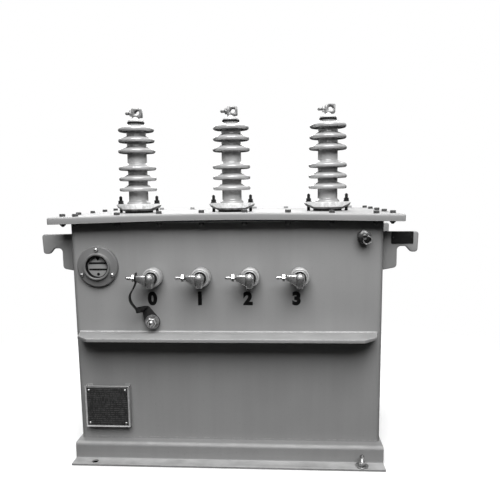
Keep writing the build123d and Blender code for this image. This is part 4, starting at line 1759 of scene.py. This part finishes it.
    def terminal(self) -> tuple[Shaper, Shaper, Shaper]:
        """Makes one terminal.

        Returns:
            The cap with its neck, the eye block and the clamp screw.
        """
        base = self.head_top
        cap = Shaper.turned([(radius, base + rise) for radius, rise in self.cap_form])
        cap.soften(self.cap_rounding)
        centre = base + self.eye_rise
        eye = Shaper.slab(self.eye_size, (self.eye_shift, 0, centre))
        eye.bevel_edges(along_y, self.eye_corner, segments=4)
        drill = Shaper.pin(self.bore, -self.drill_reach, self.drill_reach, BORE_SIDES)
        spot = Matrix.Translation((self.bore_shift * MM, 0, centre * MM))
        eye.cut(drill.put(spot @ OUT_OF_FRONT)).soften(self.eye_rounding, segments=3)
        lock = Shaper.prism(self.lock_across, *self.lock, self.lock_chamfer)
        screw = M10.rod(*self.screw, self.screw_point).join(lock)
        screw.put(Matrix.Translation((0, 0, centre * MM)) @ TO_THE_LEFT)
        return cap, eye, screw


@dataclass
class LowVoltageBushings:
    """Four porcelains in the front wall with their eye clamps and plain numbers, in millimetres."""

    names: tuple[str, ...] = ("first", "second", "third", "fourth")
    spigot: float = 17
    spigot_depth: float = 36
    gasket: float = 4
    collar: float = 25.5
    collar_front: float = 40
    collar_form: Profile = (
        (0, -7), (-0.7, -4), (-2.3, -1.6), (-4.5, -0.6), (-5.2, -2.6), (-6.8, -2.6), (-7.5, 0),
    )
    collar_rounding: float = 1.0
    stud: float = 9
    stud_span: tuple[float, float] = (36, 49.5)
    washer: float = 12
    washer_span: tuple[float, float] = (43, 45)
    washer_rounding: float = 0.4
    nut_across: float = 20
    nut_span: tuple[float, float] = (45, 49)
    nut_chamfer: float = 0.7
    eye_middle: float = 58
    eye_form: Profile = (
        (8.2, -23), (9, -19), (10.8, -12), (12, -3), (12.2, 2), (11.4, 8), (10, 11), (8.4, 12),
    )
    eye_rounding: float = 0.6
    bore: float = 7.1
    jaw_size: tuple[float, float, float] = (24, 29, 20)
    jaw_middle: tuple[float, float] = (-21, -2.5)
    jaw_tip_share: tuple[float, float] = (0.57, 0.8)
    jaw_slope: float = 0.7
    jaw_corner: float = 4
    jaw_rounding: float = 0.8
    screw_rise: float = 4
    screw: tuple[float, float] = (30, 61)
    screw_point: float = 2
    lock: tuple[float, float] = (36, 45)
    lock_across: float = 17
    lock_chamfer: float = 1.6
    number_height: float = 36
    number_scale: float = 1.26
    number_stroke: float = 2.7
    number_depth: float = 0.12
    number_shift: tuple[float, float, float] = (-7, -0.1, -62)

    def build(self) -> None:
        """Builds the four bushings with their clamps and numbers."""
        dress("lv_gaskets", GASKET_RUBBER)
        dress("lv_cap_gaskets", GASKET_RUBBER)
        body = self.porcelain()
        clamp, screw = self.terminal()
        for index, name in enumerate(self.names):
            place = wall_place(f"lv_bushing_{name}")
            spot = Matrix.Translation(place) @ OUT_OF_FRONT
            porcelain = body.twin().put(spot)
            porcelain.finish(f"lv_porcelain_{name}", PALE_PORCELAIN, [f"lv_bushing_{name}"])
            eye = clamp.twin().put(spot)
            eye.finish(f"lv_eye_clamp_{name}", TINNED_METAL, [f"lv_terminal_{name}"])
            screw.twin().put(spot).finish(f"lv_eye_screw_{name}", SCREW_METAL)
            self.number(index, place)
        Shaper.clear(body, clamp, screw)

    def porcelain(self) -> Shaper:
        """Turns one collar with a rounded front edge, a groove and a flat seat for the ring.

        Returns:
            The collar.
        """
        profile = [
            (self.spigot, self.gasket - self.spigot_depth),
            (self.spigot, self.gasket),
            (self.collar, self.gasket),
        ]
        profile += [(self.collar + out, self.collar_front + up) for out, up in self.collar_form]
        profile.append((self.stud, self.collar_front))
        return Shaper.turned(profile).soften(self.collar_rounding, segments=3)

    def terminal(self) -> tuple[Shaper, Shaper]:
        """Makes one terminal.

        Returns:
            The clamp of washer, nut, stud, upright eye and tapered jaw, and its screw with
            the lock nut.
        """
        back, front = self.washer_span
        ring = [(self.stud, back), (self.washer, back), (self.washer, front), (self.stud, front)]
        washer = Shaper.turned(ring, WASHER_SIDES).soften(self.washer_rounding)
        nut = Shaper.prism(self.nut_across, *self.nut_span, self.nut_chamfer)
        stud = Shaper.pin(self.stud, *self.stud_span, NECK_SIDES)
        low, high = self.eye_form[0][1], self.eye_form[-1][1]
        sleeve = [(self.bore, low), *self.eye_form, (self.bore, high), (self.bore, low)]
        eye = Shaper.turned(sleeve, BORE_SIDES, ring=True).soften(self.eye_rounding)
        eye.put(Matrix.Translation((0, 0, self.eye_middle * MM)) @ ALONG_Y)
        jaw = Shaper.slab(self.jaw_size, (*self.jaw_middle, self.eye_middle))
        tip = (0, self.jaw_middle[1] + self.jaw_size[1] / 2, self.eye_middle)
        jaw.taper(lambda _, normal: normal.x < -ALONG_AXIS, (1, *self.jaw_tip_share), tip)
        jaw.bevel_edges(
            lambda _, along: abs(along.x) > self.jaw_slope, self.jaw_corner, segments=4
        )
        jaw.soften(self.jaw_rounding)
        lock = Shaper.prism(self.lock_across, *self.lock, self.lock_chamfer)
        screw = M10.rod(*self.screw, self.screw_point).join(lock)
        spot = Matrix.Translation((0, self.screw_rise * MM, self.eye_middle * MM))
        return washer.join(nut, stud, eye, jaw), screw.put(spot @ TO_THE_LEFT @ EDGE_FORWARD)

    def number(self, index: int, place: Vector) -> None:
        """Stencils a plain number under a bushing.

        Args:
            index: The number.
            place: The bushing's middle on the wall, in metres.
        """
        bpy.ops.object.select_all(action="DESELECT")
        bpy.ops.object.text_add()
        text = bpy.context.active_object
        text.data.body = str(index)
        text.data.align_x = "CENTER"
        text.data.align_y = "CENTER"
        text.data.size = self.number_height * self.number_scale * MM
        text.data.extrude = self.number_depth * MM
        text.data.offset = self.number_stroke * MM
        bpy.ops.object.convert(target="MESH")
        piece = Shaper(bpy.context.active_object)
        with piece.editing():
            bpy.ops.mesh.remove_doubles(threshold=MERGE_DISTANCE)
        spot = Matrix.Translation(place + Vector(self.number_shift) * MM)
        piece.put(spot @ OUT_OF_FRONT).finish(f"terminal_number_{index}", STENCIL_INK)


@dataclass
class GroundStrap:
    """The strap from the first low-voltage clamp to its boss, with the bolt, in millimetres."""

    boss_height: float = 10
    boss_rounding: float = 0.9
    strap_thickness: float = 2.4
    strap_rounding: float = 0.5
    upper_washer: float = 31
    rod_low: float = 3.4
    rod_reach: float = 26
    rod_point: float = 2
    turn: float = 0.35
    hang_width: float = 17
    hang_hole: float = 5.7
    hang_drill: float = 10
    hang_path: Profile = (
        (14, 1), (7, 0.2), (0, 0), (-7, -0.3), (-13, -1.2), (-19, -3.3), (-25, -6.3), (-31, -10),
        (-37, -13.8), (-43, -16.4), (-49, -17.7), (-55, -17.4), (-61, -15.6), (-66, -13),
        (-71, -9.3), (-76, -5.2), (-81, -1),
    )
    hang_place: tuple[float, float, float] = (-34.5, -58, 4)
    plate_start: tuple[float, float, float] = (12, 47, -92)
    plate_lean: tuple[float, float, float] = (0.6, 0, -0.8)
    twist_cuts: int = 6

    def swing(self, rise: float) -> float:
        """Finds how far the strap swings sideways.

        Args:
            rise: Height over the strap's screw.

        Returns:
            The way to the right.
        """
        for (upper, start), (lower, end) in zip(self.hang_path, self.hang_path[1:]):
            if rise >= lower:
                return start + (end - start) * (upper - rise) / (upper - lower)
        return self.hang_path[-1][1]

    def strap(self) -> Shaper:
        """Bends the strap's hanging part, keeps its flat end and bridges the twist between them.

        Returns:
            The strap.
        """
        screw = wall_place("lv_bushing_first") / MM + Vector(self.hang_place)
        top, bottom = self.hang_path[0][0], self.hang_path[-1][0]
        size = (self.strap_thickness, self.hang_width, top - bottom)
        hang = Shaper.slab(size, (screw.x, screw.y, screw.z + (top + bottom) / 2))
        drill = Shaper.pin(self.hang_hole, -self.hang_drill, self.hang_drill, PIN_SIDES)
        hang.cut(drill.put(Matrix.Translation(screw * MM) @ TO_THE_LEFT))
        hang.slices(2, [screw.z + rise for rise, _ in self.hang_path[1:-1]])
        hang.bend(lambda place: Vector((self.swing(place.z - screw.z), 0, 0)))
        plate = Shaper.from_node("neutral_strap")
        start = (screw + Vector(self.plate_start)) * MM
        lean = Vector(self.plate_lean)
        end = (screw.z + bottom) * MM
        with plate.editing():
            bpy.ops.mesh.bisect(plane_co=start, plane_no=lean, use_fill=True, clear_inner=True)
        hang.join(plate)

        def open_end(place: Vector, _: Vector) -> bool:
            """Tells the two ends that face each other, by a face's middle."""
            cut_off = abs((place - start).dot(lean))
            return min(cut_off, abs(place.z - end)) < MERGE_DISTANCE

        with hang.editing():
            hang.select_faces(open_end)
            bpy.ops.mesh.bridge_edge_loops(number_cuts=self.twist_cuts)
            bpy.ops.mesh.select_all(action="SELECT")
            bpy.ops.mesh.normals_make_consistent(inside=False)
        return hang

    def build(self) -> None:
        """Builds the strap, the boss and the bolt."""
        strap = self.strap().soften(self.strap_rounding)
        strap.finish("neutral_strap_formed", STRAP_METAL, ["neutral_strap"])
        soften_node("ground_pad", BOLT_STEEL, self.boss_rounding)
        seat = self.boss_height + self.strap_thickness
        step = M14.washer_thickness
        over = replace(M14, washer=self.upper_washer)
        washers = M14.disc(seat).join(over.disc(seat + step))
        nut = M14.hexagon(seat + 2 * step)
        rod = M14.rod(self.rod_low, seat + self.rod_reach, self.rod_point)
        spot = Matrix.Translation(wall_place("ground_pad")) @ OUT_OF_FRONT
        spot = spot @ Matrix.Rotation(self.turn, 4, "Z")
        washers.put(spot).finish("ground_washers", BOLT_STEEL)
        nut.join(rod).put(spot).finish("ground_bolt", BRIGHT_STEEL)


@dataclass
class OilGauge:
    """The oil level gauge: flange, rim, dial with marks and three screws, in millimetres."""

    flange: float = 54.5
    flange_cut: tuple[float, float] = (2.5, 3)
    thickness: float = 12
    rim: float = 35.5
    rim_foot: tuple[float, float] = (2, 1)
    rim_lean: float = 0.8
    rim_height: float = 19.5
    rounding: float = 0.7
    window: float = 29.5
    window_cut: tuple[float, float] = (1.6, 2)
    window_foot: float = 0.1
    liner: float = 1.8
    liner_sunk: float = 0.05
    liner_drop: float = 2.5
    liner_cut: tuple[float, float] = (0.6, 0.8)
    dial: float = 33.5
    dial_gap: float = 0.3
    dial_edge: float = 2.4
    dial_front: float = 3.2
    dial_cut: float = 1
    dial_rounding: float = 0.3
    bar_size: tuple[float, float, float] = (49, 5.0, 0.5)
    bar_rise: float = 8.4
    bar_rounding: float = 0.15
    dot: float = 4
    dot_cut: tuple[float, float] = (0.4, 0.1)
    dot_drop: float = 21
    arrow: float = 7
    arrow_rise: float = 21
    arrow_rounding: float = 0.1
    screw_ring: float = 46
    screw: float = 5.8
    screw_height: float = 8
    screw_form: Profile = ((1, 0), (1, 0.3), (0.88, 0.62), (0.6, 0.88), (0.2, 1))
    screw_angles: tuple[float, ...] = (90, 207, 333)
    slot_size: tuple[float, float, float] = (17.4, 1.4, 3.6)
    slot_turn: float = 0.6

    def build(self) -> None:
        """Builds the gauge."""
        spot = Matrix.Translation(wall_place("gauge_bezel")) @ OUT_OF_FRONT
        self.bezel().put(spot).finish("gauge_flange", GAUGE_PAINT, ["gauge_bezel"])
        edge = [(self.dial, 0), (self.dial, self.dial_edge)]
        edge.append((self.dial - self.dial_cut, self.dial_front))
        face = Shaper.turned(edge).soften(self.dial_rounding, segments=1)
        face.put(spot).finish("gauge_dial", DIAL_FACE, ["gauge_window"])
        self.marks().put(spot).finish("gauge_marks", DIAL_INK)
        # The black liner stands in part for the recess's shade.
        self.well().put(spot).finish("gauge_shade_liner", DIAL_INK)
        self.screws().put(spot).finish("gauge_screws", BRIGHT_STEEL)

    def screws(self) -> Shaper:
        """Sets three slotted round heads on the flange.

        Returns:
            The heads.
        """
        size, high = self.screw, self.screw_height
        dome = [(share * size, rise * high) for share, rise in self.screw_form]
        screw = Shaper.turned(dome, PIN_SIDES).cut(Shaper.slab(self.slot_size, (0, 0, high)))
        places = []
        for degrees in self.screw_angles:
            angle = math.radians(degrees)
            ring = Vector((math.cos(angle), math.sin(angle), 0)) * self.screw_ring
            spot = Matrix.Translation((ring + Vector((0, 0, self.thickness))) * MM)
            places.append(spot @ Matrix.Rotation(angle + self.slot_turn, 4, "Z"))
        return screw.row(places)

    def bezel(self) -> Shaper:
        """Turns the flange with its raised rim and the deep window.

        Returns:
            The flange.
        """
        inner = self.dial + self.dial_gap
        profile = [
            (inner, 0),
            (self.flange, 0),
            (self.flange, self.thickness - self.flange_cut[1]),
            (self.flange - self.flange_cut[0], self.thickness),
            (self.rim + self.rim_foot[0], self.thickness),
            (self.rim, self.thickness + self.rim_foot[1]),
            (self.rim - self.rim_lean, self.rim_height),
            (self.window + self.window_cut[0], self.rim_height),
            (self.window, self.rim_height - self.window_cut[1]),
            (self.window, self.dial_front + self.window_foot),
            (inner, self.dial_front),
            (inner, 0),
        ]
        return Shaper.turned(profile, GAUGE_SIDES, ring=True).soften(self.rounding)

    def well(self) -> Shaper:
        """Turns the black liner of the window's deep wall, partly painted shade in the recess.

        Returns:
            The liner.
        """
        inner, outer = self.window - self.liner, self.window + self.liner_sunk
        low, high = self.dial_front, self.rim_height - self.liner_drop
        wide, deep = self.liner_cut
        profile = [(inner, low), (outer, low), (outer, high), (inner + wide, high)]
        profile += [(inner, high - deep), (inner, low)]
        return Shaper.turned(profile, GAUGE_SIDES, ring=True)

    def marks(self) -> Shaper:
        """Makes the dial's two level bars, its upper triangle and its lower dot.

        Returns:
            The marks.
        """
        thick = self.bar_size[2]
        low, high = self.dial_front, self.dial_front + thick
        middle = (low + high) / 2
        bars = []
        for side in BOTH_WAYS:
            bar = Shaper.slab(self.bar_size, (0, side * self.bar_rise, middle))
            bars.append(bar.soften(self.bar_rounding, segments=1))
        rim, crown = self.dot_cut
        disc = [(self.dot, low), (self.dot, high), (self.dot - rim, high + crown)]
        dot = Shaper.turned(disc, PIN_SIDES)
        dot.put(Matrix.Translation((0, -self.dot_drop * MM, 0)))
        bpy.ops.object.select_all(action="DESELECT")
        bpy.ops.mesh.primitive_cylinder_add(
            vertices=3, radius=self.arrow * MM, depth=thick * MM
        )
        arrow = Shaper(bpy.context.active_object).soften(self.arrow_rounding, segments=1)
        arrow.put(Matrix.Translation((0, self.arrow_rise * MM, middle * MM)) @ HALF_ROUND)
        return Shaper.joined([*bars, dot, arrow])


@dataclass
class ReliefValve:
    """The pressure relief valve with its pull ring, in millimetres."""

    hexagon: float = 30
    hexagon_high: float = 12
    hexagon_chamfer: float = 1.6
    spigot: float = 10
    spigot_span: tuple[float, float] = (-14, 0.5)
    neck: float = 11
    neck_high: float = 17
    cap: float = 33
    cap_high: float = 26
    cap_chamfer: float = 1.0
    cap_slope: float = 2.2
    cap_border: float = 5.5
    cap_turn: float = 0.12
    knob_form: Profile = ((8, 25), (8, 28.5), (6, 30), (3, 29))
    rounding: float = 0.5
    ring: float = 10
    ring_stretch: float = 1.12
    ring_sides: tuple[int, int] = (40, 12)
    wire: float = 1.4
    ring_place: tuple[float, float] = (6, -7)

    def build(self) -> None:
        """Builds the valve."""
        spot = Matrix.Translation(wall_place("relief_valve_cap")) @ OUT_OF_FRONT
        base = Shaper.prism(self.hexagon, 0, self.hexagon_high, self.hexagon_chamfer)
        neck = Shaper.pin(self.neck, 0, self.neck_high, NECK_SIDES)
        spigot = Shaper.pin(self.spigot, *self.spigot_span, NECK_SIDES)
        base.join(neck, spigot.soften(self.rounding, segments=1)).put(spot)
        base.finish("valve_body", VALVE_METAL, ["relief_valve_body"])
        shoulder = self.cap_high - self.cap_slope
        cap = Shaper.prism(self.cap, self.neck_high, shoulder, self.cap_chamfer)
        cap.inset(lambda _, normal: normal.z > ALONG_AXIS, self.cap_border, self.cap_slope)
        knob = Shaper.turned(self.knob_form, NECK_SIDES).soften(self.rounding)
        cap.put(Matrix.Rotation(self.cap_turn, 4, "Z")).join(knob)
        cap.put(spot).finish("valve_cap", VALVE_METAL, ["relief_valve_cap"])
        self.pull_ring().put(spot).finish("valve_pull_ring", BOLT_STEEL)

    def pull_ring(self) -> Shaper:
        """Lays a wire ring, drawn out to one side, on the cap.

        Returns:
            The ring.
        """
        bpy.ops.object.select_all(action="DESELECT")
        bpy.ops.mesh.primitive_torus_add(
            major_radius=self.ring * MM,
            minor_radius=self.wire * MM,
            major_segments=self.ring_sides[0],
            minor_segments=self.ring_sides[1],
        )
        loop = Shaper(bpy.context.active_object)
        loop.taper(lambda place, _: place.x > 0, (self.ring_stretch, 1, 1), (0, 0, 0))
        place = Vector((*self.ring_place, self.cap_high + self.wire))
        return loop.put(Matrix.Translation(place * MM))


@dataclass
class RatingPlate:
    """The bare rating plate in its raised holder, in millimetres."""

    bracket_rounding: float = 0.7
    holder: float = 3.6
    holder_sunk: float = 0.6
    holder_rounding: float = 0.6
    rim: float = 3.4
    rim_rise: float = 2.2
    plate_gap: float = 1.2
    plate_thickness: float = 1.4
    plate_rounding: float = 0.3
    rivet_form: Profile = ((3.4, 0), (3.4, 0.6), (2.6, 1.6), (1.2, 2.1))
    rivet_rounding: float = 0.25
    rivet_inset: float = 6.5

    def build(self) -> None:
        """Builds the holder, the plate and its four rivets."""
        soften_node("plate_bracket", TANK_PAINT, self.bracket_rounding)
        low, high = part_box("plate_bracket")
        size = (high - low) / MM
        middle = (low + high) / 2 / MM
        back = low.y / MM + self.holder_sunk
        place = (middle.x, back - self.holder / 2, middle.z)
        tray = Shaper.slab((size.x, self.holder, size.z), place)
        tray.inset(lambda _, normal: normal.y < -ALONG_AXIS, self.rim, -self.rim_rise)
        tray.soften(self.holder_rounding).finish("plate_holder", FRAME_METAL)
        border = 2 * (self.rim + self.plate_gap)
        inner_x, inner_z = size.x - border, size.z - border
        floor = back - self.holder + self.rim_rise
        place = (middle.x, floor - self.plate_thickness / 2, middle.z)
        plate = Shaper.slab((inner_x, self.plate_thickness, inner_z), place)
        plate.soften(self.plate_rounding, segments=1).finish("rating_plate", PLATE_LACQUER)
        front = Vector((middle.x, floor - self.plate_thickness, middle.z))
        reach_x = inner_x / 2 - self.rivet_inset
        reach_z = inner_z / 2 - self.rivet_inset
        places = [
            Matrix.Translation((front + Vector((x * reach_x, 0, z * reach_z))) * MM) @ OUT_OF_FRONT
            for x in BOTH_WAYS
            for z in BOTH_WAYS
        ]
        head = Shaper.turned(self.rivet_form, PIN_SIDES).soften(self.rivet_rounding, segments=1)
        head.row(places).finish("plate_rivets", BRIGHT_STEEL)


def main() -> None:
    """Builds the studio and every sub-assembly in order."""
    logging.basicConfig(level=logging.INFO, format="%(name)s: %(message)s")
    for part in (
        Studio(),
        Tank(),
        Lid(),
        HighVoltageBushings(),
        LowVoltageBushings(),
        GroundStrap(),
        OilGauge(),
        ReliefValve(),
        RatingPlate(),
    ):
        part.build()


if __name__ == "__main__":
    main()
